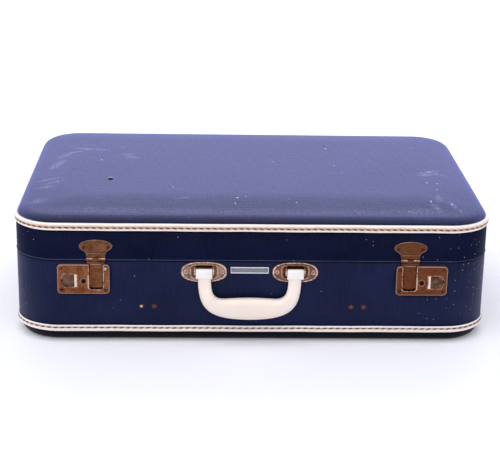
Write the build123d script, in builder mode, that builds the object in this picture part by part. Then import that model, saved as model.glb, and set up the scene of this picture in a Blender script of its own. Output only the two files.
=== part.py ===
from build123d import *
import os
from math import acos, atan2, cos, degrees, dist, radians, sin

# Vinyl-covered fibreboard suitcase with two front latches and a moulded carrying handle.
# Millimetres. X runs along the width, -Y is the front, +Z is up. The origin is the middle of the underside.

# Driving dimensions of the case. Heights below follow the split, so a taller case keeps its parts together
case_width = 600.0
case_depth = 400.0
case_height = 172.0
corner_radius = 55.0
split_height = case_height * 1093 / 1720
split_gap = 0.6
rim_radius = 13.0
wall_board = 3.0
panel_board = 2.5
lining_thickness = 0.8
lip_overlap = 4.7
lip_clearance = 0.5
lip_thickness = 2.5
liner_gap = 2.0
lining_edge = 1.0

# Cream trim that covers the seam between each panel and its wall
trim_start = 14.0
trim_height = 9.4
trim_bead_height = 5.2
trim_bead_proud = 2.5
trim_strip_proud = 1.4
trim_cover = 2.4
trim_round = 2.0
thread_width = 1.3
thread_depth = 0.7
thread_offset = 2.1
thread_proud = 0.15
lid_band = case_height - trim_start - trim_height - split_height

# Latch: lock plate on the base, measured from the middle of the case outwards
latch_centre = 211.6
lock_plate_width = 65.0
lock_plate_height = 39.0
lock_plate_centre_z = split_height - 23.7
lock_plate_proud = 4.0
lock_plate_sheet = 1.0
lock_plate_corner = 5.0
lock_rivet_x = 27.3
lock_rivet_z = 14.0
recess_centre = 196.0
recess_width = 17.4
recess_bottom_z = lock_plate_centre_z - 13.2
recess_corner = 3.0
recess_rim = 0.9
recess_rim_proud = 0.5
lock_plate_edge = 0.9
window_rim_width = 0.7
window_rim_proud = 0.4
window_start = 219.4
window_end = 239.6
window_low_z = lock_plate_centre_z - 9.8
window_high_z = lock_plate_centre_z + 6.8
window_point = 3.0
keyhole_x = 211.4
keyhole_z = lock_plate_centre_z - 2.5
escutcheon_radius = 3.8
core_radius = 2.5
core_clearance = 0.08
key_slot_width = 1.2
key_slot_height = 3.4

# Lock mechanism in the pocket behind the lock plate
lock_pocket_start = 188.0
lock_pocket_end = 243.0
lock_pocket_low_z = lock_plate_centre_z - 11.1
lock_pocket_high_z = lock_plate_centre_z + 11.4
lock_case_floor = 0.6
slide_thickness = 0.9
slide_clearance = 0.15
slide_travel = 4.5
thumb_bar_width = 3.0
thumb_bar_proud = 5.4
bolt_thickness = 1.6
bolt_low_z = lock_plate_centre_z + 1.6
bolt_height = 3.6
bolt_engagement = 1.5
catch_width = 3.0
catch_start = 192.5
catch_wall = 1.1
catch_roof = 0.3
bolt_drop = 0.7
bolt_clearance = 0.3
bolt_tail = 7.0
spring_diameter = 2.6
spring_wire = 0.5
spring_drop = 0.3
lock_case_clearance = 0.2
slide_overlap = 1.2
slide_end_clearance = 0.3
thumb_bar_round = 0.4
core_collar = 0.9
core_floor_gap = 0.5
cam_width = 2.6
cam_reach = 6.5
cam_thickness = 0.9
key_slot_depth = 2.0

# Hasp tongue and the fan-shaped plate that carries it on the lid
tongue_width = 15.0
tongue_low_z = recess_bottom_z + 2.0
tongue_thickness = 1.6
tongue_back = 1.7
tongue_corner = 3.5
tongue_barrel_length = 7.0
tongue_gap = 0.5
tongue_edge = 0.5
knuckle_axis_z = split_height + 2.1
knuckle_axis_proud = 2.7
knuckle_radius = 2.0
knuckle_gap = 0.3
pin_radius = 0.9
pin_clearance = 0.05
fan_neck_width = 23.0
fan_ridge_width = 24.4
fan_ridge_z = split_height + lid_band * 97 / 393
fan_width = 41.5
fan_wide_z = split_height + lid_band * 192 / 393
fan_top_z = split_height + lid_band * 277 / 393
fan_sheet = 1.4
fan_edge = 0.5
fan_flare = 4.0
fan_waist_radius = 3.0
fan_ridge_height = 1.4
fan_ridge_proud = 0.6
pin_end = 0.6
fan_rivet_x = 15.0
fan_rivet_z = split_height + lid_band * 177 / 393

# Carrying handle, placed a little left of the middle as it is on the case
handle_centre = -4.8
handle_arm_x = 57.0
handle_plate_width = 58.0
handle_plate_height = 26.5
handle_plate_z = split_height - 14.0
handle_plate_sheet = 1.3
handle_plate_rim = 1.3
handle_plate_rim_proud = 0.5
handle_rivet_x = 22.6
handle_ear_gap = 21.0
handle_ear_sheet = 2.2
handle_ear_height = 13.0
handle_ear_proud = 9.5
handle_pivot_z = handle_plate_z + 2.2
handle_pivot_proud = 6.2
handle_pivot_radius = 1.5
handle_eye_radius = 3.6
handle_eye_width = 20.0
handle_arm_width = 17.4
handle_grip_low_z = trim_start + trim_height + 11.6
handle_grip_high_z = handle_grip_low_z + 29.2
handle_grip_depth = 15.0
handle_arm_depth = 7.0
handle_edge_round = 3.2
handle_to_wall = 2.4
handle_corner_z = handle_grip_low_z + 23.0
handle_corner_radius = 26.0
handle_bottom_x = 43.0
handle_bottom_z = handle_grip_low_z + 4.8
handle_bottom_radius = 38.0
handle_belly_radius = 120.0
handle_inner_radius = 11.0
handle_arm_thin_z = handle_pivot_z - 13.5
handle_eye_clearance = 0.08

# Blank nameplate between the handle plates
nameplate_width = 48.0
nameplate_height = 8.4
nameplate_z = handle_pivot_z
nameplate_sheet = 0.9
nameplate_end = 3.0
nameplate_pin_x = 20.0
nameplate_pin_radius = 0.8
nameplate_pin_proud = 0.4

# Rivet heads
rivet_head_radius = 1.9
rivet_head_proud = 0.8
rivet_shank_radius = 1.0
rivet_clearance = 0.05

# Packing straps inside, held by the rivet pairs low in the front wall
strap_x = 132.0
strap_width = 25.0
strap_thickness = 1.2
strap_top_z = 60.0
strap_rivet_pitch = 16.0
strap_rivet_z = 48.5
strap_clearance = 0.1
buckle_width = 34.0
buckle_length = 22.0
buckle_bar = 3.0
buckle_thickness = 2.0
buckle_y = -60.0

# Two hinges at the back
hinge_x = 170.0
hinge_leaf_width = 44.0
hinge_leaf_height = 19.0
hinge_leaf_sheet = 1.0
hinge_axis_proud = 2.7
hinge_knuckle_radius = 2.2
hinge_knuckle_gap = 0.3
hinge_rivet_x = 15.0
hinge_leaf_corner = 3.0
lid_open_angle = 100.0

# Folding stays that hold the lid open, one inside each side wall
stay_base_pivot_y = case_depth / 2 - 65.0
stay_base_pivot_z = split_height - 9.3
stay_lid_pivot_y = case_depth / 2 - 55.0
stay_lid_pivot_z = case_height - 26.0
stay_straightness = 0.94
stay_width = 9.0
stay_sheet = 1.6
stay_gap = 0.3
stay_stud_radius = 2.0
stay_stud_clearance = 0.08
stay_open_clearance = 0.3
stay_head_radius = 3.4
stay_head_thickness = 0.9
stay_foot_sheet = 1.4
stay_foot_width = 25.0
stay_foot_clearance = 0.5
stay_screw_back = 8.0
stay_screw_pitch = 6.5
stay_foot_height = 13.0
stay_inset = 12.3

# Values worked out from the driving dimensions
half_width = case_width / 2
half_depth = case_depth / 2
front_y = -half_depth
wall_base_z = trim_start + trim_cover
panel_flange = trim_start + trim_height + 0.6
lip_top_z = split_height + lip_overlap
liner_low_z = lip_top_z + liner_gap
inner_inset = wall_board + lip_thickness
lining_inset = inner_inset + lining_thickness
hinge_axis_y = half_depth + hinge_axis_proud
bolt_high_z = bolt_low_z + bolt_height
bolt_nose = catch_start + catch_width - bolt_engagement
plate_inside = lock_plate_proud - lock_plate_sheet

os.makedirs("parts", exist_ok=True)


def finish(builder, name):
    """Labels a finished piece and writes its STEP file."""
    builder.part.label = name
    export_step(builder.part, f"parts/{name}.step")
    print(name, len(builder.part.solids()), "solid(s)")


def case_plan(inset, mode=Mode.ADD):
    """Rounded rectangle of the case seen from above, drawn inwards by inset."""
    RectangleRounded(case_width - 2 * inset, case_depth - 2 * inset, corner_radius - inset, mode=mode)


def band(inset_outer, inset_inner, low_z, high_z):
    """Upright band all round the case between two insets."""
    with BuildPart() as ring:
        with BuildSketch(Plane.XY.offset(low_z)):
            case_plan(inset_outer)
            case_plan(inset_inner, mode=Mode.SUBTRACT)
        extrude(amount=high_z - low_z)
    return ring.part


def tub(inset, floor_z, top_z, rim):
    """Block of the case's plan with a rounded rim round its floor."""
    with BuildPart() as block:
        with BuildSketch(Plane.XY.offset(floor_z)):
            case_plan(inset)
        extrude(amount=top_z - floor_z)
        fillet(block.edges().group_by(Axis.Z)[0], rim)
    return block.part


def pan(inset, sheet, floor_z, top_z, rim):
    """Open tub of even thickness."""
    outside = tub(inset, floor_z, top_z, rim)
    inside = tub(inset + sheet, floor_z + sheet, top_z + 1, rim - sheet)
    with BuildPart() as shell:
        add(outside)
        add(inside, mode=Mode.SUBTRACT)
    return shell.part


def turned_over(shape):
    """The lid is made as the base is, then mirrored to the top of the case."""
    with BuildPart() as flipped:
        add(mirror(shape, about=Plane.XY.offset(case_height / 2), mode=Mode.PRIVATE))
    return flipped.part


def pegs(points, radius, plane, depth):
    """Round bars for shanks and their holes, one at each point of a plane."""
    with BuildPart() as bars:
        with BuildSketch(plane):
            with Locations(*points):
                Circle(radius)
        extrude(amount=depth)
    return bars.part


def front_plane(proud):
    """Plane parallel to the front wall, standing proud of it, with X and Z as its axes."""
    return Plane.XZ.offset(half_depth + proud)


def back_plane(proud):
    """Plane parallel to the back wall that looks backwards. Its first axis runs along -X."""
    return Plane(origin=(0, half_depth + proud, 0), x_dir=(-1, 0, 0), z_dir=(0, 1, 0))


def round_rivets(points, plane, shank_depth):
    """Domed rivet heads on a plane, each with a shank that goes shank_depth into the wall."""
    with BuildPart() as rivets:
        with BuildSketch(plane):
            with Locations(*points):
                Circle(rivet_head_radius)
        extrude(amount=rivet_head_proud)
        tops = rivets.faces().filter_by(GeomType.PLANE).group_by(Axis((0, 0, 0), plane.z_dir))[-1]
        fillet(tops.edges(), rivet_head_proud * 0.75)
        with BuildSketch(plane):
            with Locations(*points):
                Circle(rivet_shank_radius)
        extrude(amount=-shank_depth)
    return rivets.part


# Places of all the rivets, used both for the shanks and for their holes
lock_rivet_points = [
    (side * latch_centre + dx, lock_plate_centre_z + dz)
    for side in (-1, 1)
    for dx in (-lock_rivet_x, lock_rivet_x)
    for dz in (-lock_rivet_z, lock_rivet_z)
]
fan_rivet_points = [
    (side * recess_centre + dx, fan_rivet_z) for side in (-1, 1) for dx in (-fan_rivet_x, fan_rivet_x)
]
handle_rivet_points = [
    (handle_centre + side * handle_arm_x + dx, handle_plate_z)
    for side in (-1, 1)
    for dx in (-handle_rivet_x, handle_rivet_x)
]
nameplate_pin_points = [(handle_centre + side * nameplate_pin_x, nameplate_z) for side in (-1, 1)]
strap_rivet_points = [
    (side * strap_x + dx, strap_rivet_z)
    for side in (-1, 1)
    for dx in (-strap_rivet_pitch / 2, strap_rivet_pitch / 2)
]
hinge_base_z = split_height - hinge_knuckle_radius - hinge_leaf_height * 0.55
hinge_lid_z = split_height + hinge_knuckle_radius + hinge_leaf_height * 0.55
hinge_rivet_xs = [side * hinge_x + dx for side in (-1, 1) for dx in (-hinge_rivet_x, hinge_rivet_x)]
hinge_base_points = [(x, hinge_base_z) for x in hinge_rivet_xs]
hinge_lid_points = [(x, hinge_lid_z) for x in hinge_rivet_xs]

hole_radius = rivet_shank_radius + rivet_clearance
front_base_points = lock_rivet_points + handle_rivet_points + nameplate_pin_points
strap_rivet_depth = lining_inset + strap_clearance + strap_thickness
wall_and_lip = inner_inset + rivet_clearance

# Holes that run through the base wall and lip, and through the lid wall
front_base_holes = pegs(front_base_points, hole_radius, front_plane(0), -wall_and_lip)
back_base_holes = pegs(hinge_base_points, hole_radius, back_plane(0), -wall_and_lip)
front_lid_holes = pegs(fan_rivet_points, hole_radius, front_plane(0), -wall_and_lip)
back_lid_holes = pegs(hinge_lid_points, hole_radius, back_plane(0), -wall_and_lip)

with BuildPart() as all_strap_holes:
    add(pegs(strap_rivet_points, hole_radius, front_plane(0), -strap_rivet_depth - 1))
    add(pegs(strap_rivet_points, hole_radius, back_plane(0), -strap_rivet_depth - 1))
strap_holes = all_strap_holes.part

with BuildPart() as lock_pockets:
    with BuildSketch(front_plane(0)):
        for side in (-1, 1):
            with Locations((side * (lock_pocket_start + lock_pocket_end) / 2,
                            (lock_pocket_low_z + lock_pocket_high_z) / 2)):
                Rectangle(lock_pocket_end - lock_pocket_start, lock_pocket_high_z - lock_pocket_low_z)
    extrude(amount=-wall_board)

# Folding stays: the pivots, the link length and the angles at rest
axis_point = (hinge_axis_y, split_height)
base_pivot = (stay_base_pivot_y, stay_base_pivot_z)
lid_pivot = (stay_lid_pivot_y, stay_lid_pivot_z)


def opened(point, angle):
    """Where a point (y, z) of the lid lies when the lid has opened by angle degrees."""
    y, z = point[0] - axis_point[0], point[1] - axis_point[1]
    turn = radians(angle)
    return (axis_point[0] + y * cos(turn) + z * sin(turn), axis_point[1] - y * sin(turn) + z * cos(turn))


stay_link = dist(base_pivot, opened(lid_pivot, lid_open_angle)) / 2 / stay_straightness
stay_reach = dist(base_pivot, lid_pivot)
stay_heading = atan2(lid_pivot[1] - base_pivot[1], lid_pivot[0] - base_pivot[0])
stay_fold = acos(stay_reach / 2 / stay_link)
elbow = (
    base_pivot[0] + stay_link * cos(stay_heading + stay_fold),
    base_pivot[1] + stay_link * sin(stay_heading + stay_fold),
)
stay_outer_x = half_width - stay_inset
print("stay link", round(stay_link, 2), "elbow", [round(v, 2) for v in elbow])


def side_plane(side, x):
    """Plane square to X at |x| on one side of the case, with Y and Z as its axes."""
    return Plane(origin=(side * x, 0, 0), x_dir=(0, 1, 0), z_dir=(1, 0, 0))


def side_pegs(points, radius, start_x, end_x):
    """Round bars along X from |x| = start_x to end_x, the same on both sides."""
    with BuildPart() as bars:
        for side in (-1, 1):
            with BuildSketch(side_plane(side, start_x)):
                with Locations(*points):
                    Circle(radius)
            extrude(amount=side * (end_x - start_x))
    return bars.part


def foot_centre(pivot):
    """The foot of a stay bracket reaches forwards, with its round back end about the pivot."""
    return (pivot[0] - (stay_foot_width - stay_foot_height) / 2, pivot[1])


def foot_screws(pivot):
    """Two screws of a stay bracket."""
    y, z = foot_centre(pivot)
    return [(y - stay_screw_back, z), (y - stay_screw_back + stay_screw_pitch, z)]


lining_x = half_width - lining_inset
foot_x = lining_x - stay_foot_clearance
lower_outer_x = stay_outer_x
lower_inner_x = lower_outer_x - stay_sheet
upper_outer_x = lower_inner_x - stay_gap
upper_inner_x = upper_outer_x - stay_sheet
base_stay_holes = side_pegs(foot_screws(base_pivot), hole_radius, lining_x - 1, half_width - wall_board)
lid_stay_holes = side_pegs(foot_screws(lid_pivot), hole_radius, lining_x - 1, half_width - wall_board)


def stay_brackets(pivot, stud_end):
    """Foot plates against the lining, screws into the wall, and the studs that the links turn on."""
    with BuildPart() as brackets:
        for side in (-1, 1):
            with BuildSketch(side_plane(side, foot_x)):
                with Locations(foot_centre(pivot)):
                    SlotOverall(stay_foot_width, stay_foot_height)
            extrude(amount=-side * stay_foot_sheet)
        add(side_pegs(foot_screws(pivot), rivet_shank_radius, foot_x, half_width - wall_board))
        add(side_pegs(foot_screws(pivot), rivet_head_radius, foot_x - stay_foot_sheet - rivet_head_proud,
                      foot_x - stay_foot_sheet))
        add(side_pegs([pivot], stay_stud_radius, foot_x - stay_foot_sheet, stud_end))
        add(side_pegs([pivot], stay_head_radius, stud_end, stud_end - stay_head_thickness))
    return brackets.part


def stay_link_bar(side, start, end, outer_x, hole_clearances):
    """Flat link with round ends, and a hole round the pivot at each end."""
    lean = degrees(atan2(end[1] - start[1], end[0] - start[0]))
    middle = ((start[0] + end[0]) / 2, (start[1] + end[1]) / 2)
    with BuildPart() as bar:
        with BuildSketch(side_plane(side, outer_x)):
            with Locations(Location((middle[0], middle[1], 0), (0, 0, lean))):
                SlotCenterToCenter(dist(start, end), stay_width)
            for pivot, clearance in zip((start, end), hole_clearances):
                with Locations(pivot):
                    Circle(stay_stud_radius + clearance, mode=Mode.SUBTRACT)
        extrude(amount=-side * stay_sheet)
    return bar.part


with BuildPart() as stay_base_brackets:
    add(stay_brackets(base_pivot, lower_inner_x - stay_gap))
finish(stay_base_brackets, "stay_base_brackets")

with BuildPart() as stay_lid_brackets:
    add(stay_brackets(lid_pivot, upper_inner_x - stay_gap))
finish(stay_lid_brackets, "stay_lid_brackets")

for side, hand in ((-1, "left"), (1, "right")):
    with BuildPart() as stay_lower:
        add(stay_link_bar(side, base_pivot, elbow, lower_outer_x, (stay_stud_clearance, rivet_clearance)))
    finish(stay_lower, f"stay_lower_{hand}")

    with BuildPart() as stay_upper:
        add(stay_link_bar(side, elbow, lid_pivot, upper_outer_x, (stay_stud_clearance, stay_open_clearance)))
    finish(stay_upper, f"stay_upper_{hand}")

    with BuildPart() as stay_elbow:
        with BuildSketch(side_plane(side, lower_outer_x + stay_head_thickness)):
            with Locations(elbow):
                Circle(stay_head_radius)
        extrude(amount=-side * stay_head_thickness)
        with BuildSketch(side_plane(side, lower_outer_x)):
            with Locations(elbow):
                Circle(stay_stud_radius)
        extrude(amount=-side * (lower_outer_x - upper_inner_x + stay_gap))
        with BuildSketch(side_plane(side, upper_inner_x - stay_gap)):
            with Locations(elbow):
                Circle(stay_head_radius)
        extrude(amount=-side * stay_head_thickness)
    finish(stay_elbow, f"stay_elbow_rivet_{hand}")

# Base shell: pressed floor panel, bent wall, inner lip and lining
with BuildPart() as base_panel:
    add(pan(wall_board, panel_board, 0, panel_flange, rim_radius))
finish(base_panel, "base_panel")

with BuildPart() as base_wall:
    add(band(0, wall_board, wall_base_z, split_height - split_gap / 2))
    for holes in (front_base_holes, back_base_holes, strap_holes, lock_pockets.part):
        add(holes, mode=Mode.SUBTRACT)
finish(base_wall, "base_wall")

with BuildPart() as base_lip:
    add(band(wall_board, inner_inset, panel_flange, lip_top_z))
    add(band(wall_board - 1, wall_board + lip_clearance, split_height - split_gap / 2, lip_top_z + 1),
        mode=Mode.SUBTRACT)
    for holes in (front_base_holes, back_base_holes, strap_holes, base_stay_holes):
        add(holes, mode=Mode.SUBTRACT)
finish(base_lip, "base_lip")

with BuildPart() as base_lining:
    add(pan(inner_inset, lining_thickness, panel_board, lip_top_z - lining_edge, rim_radius - panel_board))
    for holes in (strap_holes, base_stay_holes):
        add(holes, mode=Mode.SUBTRACT)
finish(base_lining, "base_lining")


def trim_ring():
    """Trim strip round the base: a rounded bead over the seam and a stitched strip above it."""
    with BuildPart() as ring:
        with BuildSketch(Plane.XY.offset(trim_start)):
            case_plan(-trim_bead_proud)
        extrude(amount=trim_bead_height)
        fillet(ring.edges().group_by(Axis.Z)[0] + ring.edges().group_by(Axis.Z)[-1], trim_round)
        with BuildSketch(Plane.XY.offset(trim_start + trim_round)):
            case_plan(-trim_strip_proud)
        extrude(amount=trim_height - trim_round)
        fillet(ring.edges().group_by(Axis.Z)[-1], trim_strip_proud * 0.5)
        add(band(-trim_strip_proud - 1, thread_depth - trim_strip_proud, thread_z - thread_width / 2,
                 thread_z + thread_width / 2), mode=Mode.SUBTRACT)
        with BuildSketch(Plane.XY.offset(wall_base_z)):
            case_plan(0)
        extrude(amount=trim_height, mode=Mode.SUBTRACT)
        with BuildSketch(Plane.XY.offset(trim_start - 1)):
            case_plan(wall_board)
        extrude(amount=trim_height, mode=Mode.SUBTRACT)
    return ring.part


thread_z = trim_start + trim_height - thread_offset
base_trim_ring = trim_ring()
base_thread_ring = band(-trim_strip_proud - thread_proud, thread_depth - trim_strip_proud,
                        thread_z - thread_width / 2, thread_z + thread_width / 2)

with BuildPart() as base_trim:
    add(base_trim_ring)
finish(base_trim, "base_trim")

with BuildPart() as base_stitching:
    add(base_thread_ring)
finish(base_stitching, "base_stitching")

# Lid shell, the same pieces turned over
with BuildPart() as lid_panel:
    add(turned_over(pan(wall_board, panel_board, 0, panel_flange, rim_radius)))
finish(lid_panel, "lid_panel")

with BuildPart() as lid_wall:
    add(band(0, wall_board, split_height + split_gap / 2, case_height - wall_base_z))
    add(front_lid_holes, mode=Mode.SUBTRACT)
    add(back_lid_holes, mode=Mode.SUBTRACT)
finish(lid_wall, "lid_wall")

with BuildPart() as lid_liner_band:
    add(band(wall_board, inner_inset, liner_low_z, case_height - panel_flange))
    add(front_lid_holes, mode=Mode.SUBTRACT)
    add(back_lid_holes, mode=Mode.SUBTRACT)
    add(lid_stay_holes, mode=Mode.SUBTRACT)
finish(lid_liner_band, "lid_liner_band")

lid_lining_depth = case_height - liner_low_z - lining_edge
with BuildPart() as lid_lining:
    add(turned_over(pan(inner_inset, lining_thickness, panel_board, lid_lining_depth,
                        rim_radius - panel_board)))
    add(lid_stay_holes, mode=Mode.SUBTRACT)
finish(lid_lining, "lid_lining")

with BuildPart() as lid_trim:
    add(turned_over(base_trim_ring))
finish(lid_trim, "lid_trim")

with BuildPart() as lid_stitching:
    add(turned_over(base_thread_ring))
finish(lid_stitching, "lid_stitching")


def front_block(low_x, high_x, low_z, high_z, low_proud, high_proud):
    """Block on the front of the case, by its limits along X, along Z and out of the wall."""
    with BuildPart() as block:
        with BuildSketch(front_plane(low_proud)):
            with Locations(((low_x + high_x) / 2, (low_z + high_z) / 2)):
                Rectangle(high_x - low_x, high_z - low_z)
        extrude(amount=high_proud - low_proud)
    return block.part


def front_tongue(centre_x, width, low_z, high_z, corner, low_proud, high_proud):
    """Block on the front whose two lower corners are round."""
    with BuildPart() as block:
        with BuildSketch(front_plane(low_proud)) as outline:
            with Locations((centre_x, (low_z + high_z) / 2)):
                Rectangle(width, high_z - low_z)
            fillet(outline.vertices().group_by(Axis.Y)[0], corner)
        extrude(amount=high_proud - low_proud)
    return block.part


def cross_bar(low_x, high_x, y, z, radius):
    """Round bar along X."""
    with BuildPart() as bar:
        with BuildSketch(Plane(origin=(low_x, 0, 0), x_dir=(0, 1, 0), z_dir=(1, 0, 0))):
            with Locations((y, z)):
                Circle(radius)
        extrude(amount=high_x - low_x)
    return bar.part


def write_pair(shape, name):
    """Writes a piece of the right-hand latch, and its mirror image for the left-hand latch."""
    with BuildPart() as right_piece:
        add(shape)
    finish(right_piece, f"{name}_right")
    with BuildPart() as left_piece:
        add(mirror(shape, about=Plane.YZ, mode=Mode.PRIVATE))
    finish(left_piece, f"{name}_left")


# Lock plate: a hollow pressing with a well for the tongue, a window for the thumb bar and a keyhole
plate_top_z = lock_plate_centre_z + lock_plate_height / 2
well_proud = lock_plate_proud + recess_rim_proud
bolt_front_proud = tongue_back - bolt_drop
bolt_back_proud = bolt_front_proud - bolt_thickness
with BuildLine() as window_outline:
    Polyline((window_start, window_low_z), (window_end - window_point, window_low_z),
             (window_end, (window_low_z + window_high_z) / 2),
             (window_end - window_point, window_high_z), (window_start, window_high_z), close=True)
with BuildPart() as lock_plate:
    with BuildSketch(front_plane(0)):
        with Locations((latch_centre, lock_plate_centre_z)):
            RectangleRounded(lock_plate_width, lock_plate_height, lock_plate_corner)
    extrude(amount=lock_plate_proud)
    fillet(lock_plate.faces().sort_by(Axis.Y)[0].edges(), lock_plate_edge)
    with BuildSketch(front_plane(0)):
        with Locations((latch_centre, lock_plate_centre_z)):
            RectangleRounded(lock_plate_width - 2 * lock_plate_sheet,
                             lock_plate_height - 2 * lock_plate_sheet,
                             lock_plate_corner - lock_plate_sheet)
    extrude(amount=plate_inside, mode=Mode.SUBTRACT)
    add(front_tongue(recess_centre, recess_width + 2 * recess_rim, recess_bottom_z - recess_rim,
                     plate_top_z - lock_plate_edge, recess_corner + recess_rim, 0, well_proud))
    with BuildSketch(front_plane(lock_plate_proud)) as window_rim:
        make_face(window_outline.edges())
        offset(amount=window_rim_width, kind=Kind.INTERSECTION)
    extrude(amount=window_rim_proud)
    with BuildSketch(front_plane(lock_plate_proud)):
        with Locations((keyhole_x, keyhole_z)):
            Circle(escutcheon_radius)
    extrude(amount=window_rim_proud)
    add(front_tongue(recess_centre, recess_width, recess_bottom_z, plate_top_z + 1, recess_corner,
                     -1, well_proud + 1), mode=Mode.SUBTRACT)
    with BuildSketch(front_plane(0)):
        make_face(window_outline.edges())
    extrude(amount=well_proud, mode=Mode.SUBTRACT)
    with BuildSketch(front_plane(0)):
        with Locations((keyhole_x, keyhole_z)):
            Circle(core_radius + core_clearance)
        with Locations(*[point for point in lock_rivet_points if point[0] > 0]):
            Circle(hole_radius)
    extrude(amount=well_proud, mode=Mode.SUBTRACT)
    add(front_block(recess_centre, window_start, bolt_low_z - bolt_clearance, bolt_high_z + bolt_clearance,
                    bolt_back_proud - bolt_clearance, bolt_front_proud + bolt_clearance), mode=Mode.SUBTRACT)
write_pair(lock_plate.part, "lock_plate")

# Lock case: a shallow tray in the wall behind the lock plate
case_low_x = lock_pocket_start + lock_case_clearance
case_high_x = lock_pocket_end - lock_case_clearance
case_low_z = lock_pocket_low_z + lock_case_clearance
case_high_z = lock_pocket_high_z - lock_case_clearance
with BuildPart() as lock_case:
    add(front_block(case_low_x, case_high_x, case_low_z, case_high_z, -wall_board, 0))
    add(front_block(case_low_x + lock_case_floor, case_high_x - lock_case_floor, case_low_z + lock_case_floor,
                    case_high_z - lock_case_floor, lock_case_floor - wall_board, 1), mode=Mode.SUBTRACT)
write_pair(lock_case.part, "lock_case")

# Slide: the plate behind the window, the bar that the thumb pushes outwards, and the bolt
slide_start = window_start - slide_overlap
slide_end = latch_centre + lock_plate_width / 2 - lock_plate_sheet - slide_travel - slide_end_clearance
thumb_plate_front = plate_inside - slide_clearance
with BuildPart() as latch_slide:
    add(front_block(slide_start, slide_end, window_low_z - slide_overlap, window_high_z + slide_overlap,
                    thumb_plate_front - slide_thickness, thumb_plate_front))
    add(front_block(window_start + slide_end_clearance, window_start + slide_end_clearance + thumb_bar_width,
                    window_low_z + slide_end_clearance, window_high_z - slide_end_clearance,
                    thumb_plate_front, thumb_bar_proud))
    fillet(latch_slide.faces().sort_by(Axis.Y)[0].edges(), thumb_bar_round)
    add(front_block(bolt_nose, slide_start + bolt_tail, bolt_low_z, bolt_high_z, bolt_back_proud,
                    bolt_front_proud))
    add(front_block(slide_start, slide_start + bolt_tail, bolt_low_z, bolt_high_z, bolt_back_proud,
                    thumb_plate_front))
write_pair(latch_slide.part, "latch_slide")

# Return spring between the bolt's tail and the wall of the lock case
spring_proud = (bolt_back_proud + bolt_front_proud) / 2 - spring_drop
with BuildPart() as slide_spring:
    add(cross_bar(slide_start + bolt_tail, case_high_x - lock_case_floor, front_y - spring_proud,
                  (bolt_low_z + bolt_high_z) / 2, spring_diameter / 2))
    add(cross_bar(slide_start + bolt_tail, case_high_x - lock_case_floor, front_y - spring_proud,
                  (bolt_low_z + bolt_high_z) / 2, spring_diameter / 2 - spring_wire), mode=Mode.SUBTRACT)
write_pair(slide_spring.part, "slide_spring")

# Lock core: turned by the key, with a collar behind the plate and a cam in the lock case
core_back_proud = lock_case_floor - wall_board + core_floor_gap
with BuildPart() as lock_core:
    with BuildSketch(front_plane(core_back_proud)):
        with Locations((keyhole_x, keyhole_z)):
            Circle(core_radius)
    extrude(amount=lock_plate_proud + window_rim_proud * 0.6 - core_back_proud)
    with BuildSketch(front_plane(thumb_plate_front - slide_thickness)):
        with Locations((keyhole_x, keyhole_z)):
            Circle(core_radius + core_collar)
    extrude(amount=slide_thickness)
    add(front_block(keyhole_x - cam_width / 2, keyhole_x + cam_width / 2, keyhole_z - cam_reach, keyhole_z,
                    core_back_proud, core_back_proud + cam_thickness))
    add(front_block(keyhole_x - key_slot_width / 2, keyhole_x + key_slot_width / 2,
                    keyhole_z - key_slot_height / 2, keyhole_z + key_slot_height / 2,
                    lock_plate_proud - key_slot_depth, well_proud), mode=Mode.SUBTRACT)
write_pair(lock_core.part, "lock_core")

# Hasp: a barrel on the pin, the tongue below it and the catch that the bolt enters
axis_y = front_y - knuckle_axis_proud
tongue_top_z = knuckle_axis_z - knuckle_radius - tongue_gap
catch_low_z = bolt_low_z - bolt_clearance - catch_wall
catch_high_z = bolt_high_z + bolt_clearance + catch_wall
with BuildPart() as hasp:
    add(front_tongue(recess_centre, tongue_width, tongue_low_z, tongue_top_z, tongue_corner, tongue_back,
                     tongue_back + tongue_thickness))
    fillet(hasp.faces().sort_by(Axis.Y)[0].edges(), tongue_edge)
    add(front_block(recess_centre - tongue_barrel_length / 2, recess_centre + tongue_barrel_length / 2,
                    tongue_top_z - 1, knuckle_axis_z, tongue_back, tongue_back + tongue_thickness))
    add(cross_bar(recess_centre - tongue_barrel_length / 2, recess_centre + tongue_barrel_length / 2, axis_y,
                  knuckle_axis_z, knuckle_radius))
    add(cross_bar(recess_centre - tongue_width, recess_centre + tongue_width, axis_y, knuckle_axis_z,
                  pin_radius + pin_clearance), mode=Mode.SUBTRACT)
    add(front_block(catch_start, catch_start + catch_width, catch_low_z, catch_high_z,
                    bolt_back_proud - bolt_clearance - catch_wall, tongue_back))
    add(front_block(catch_start - 1, catch_start + catch_width + 1, bolt_low_z - bolt_clearance,
                    bolt_high_z + bolt_clearance, bolt_back_proud - bolt_clearance, tongue_back - catch_roof),
        mode=Mode.SUBTRACT)
write_pair(hasp.part, "hasp")

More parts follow.
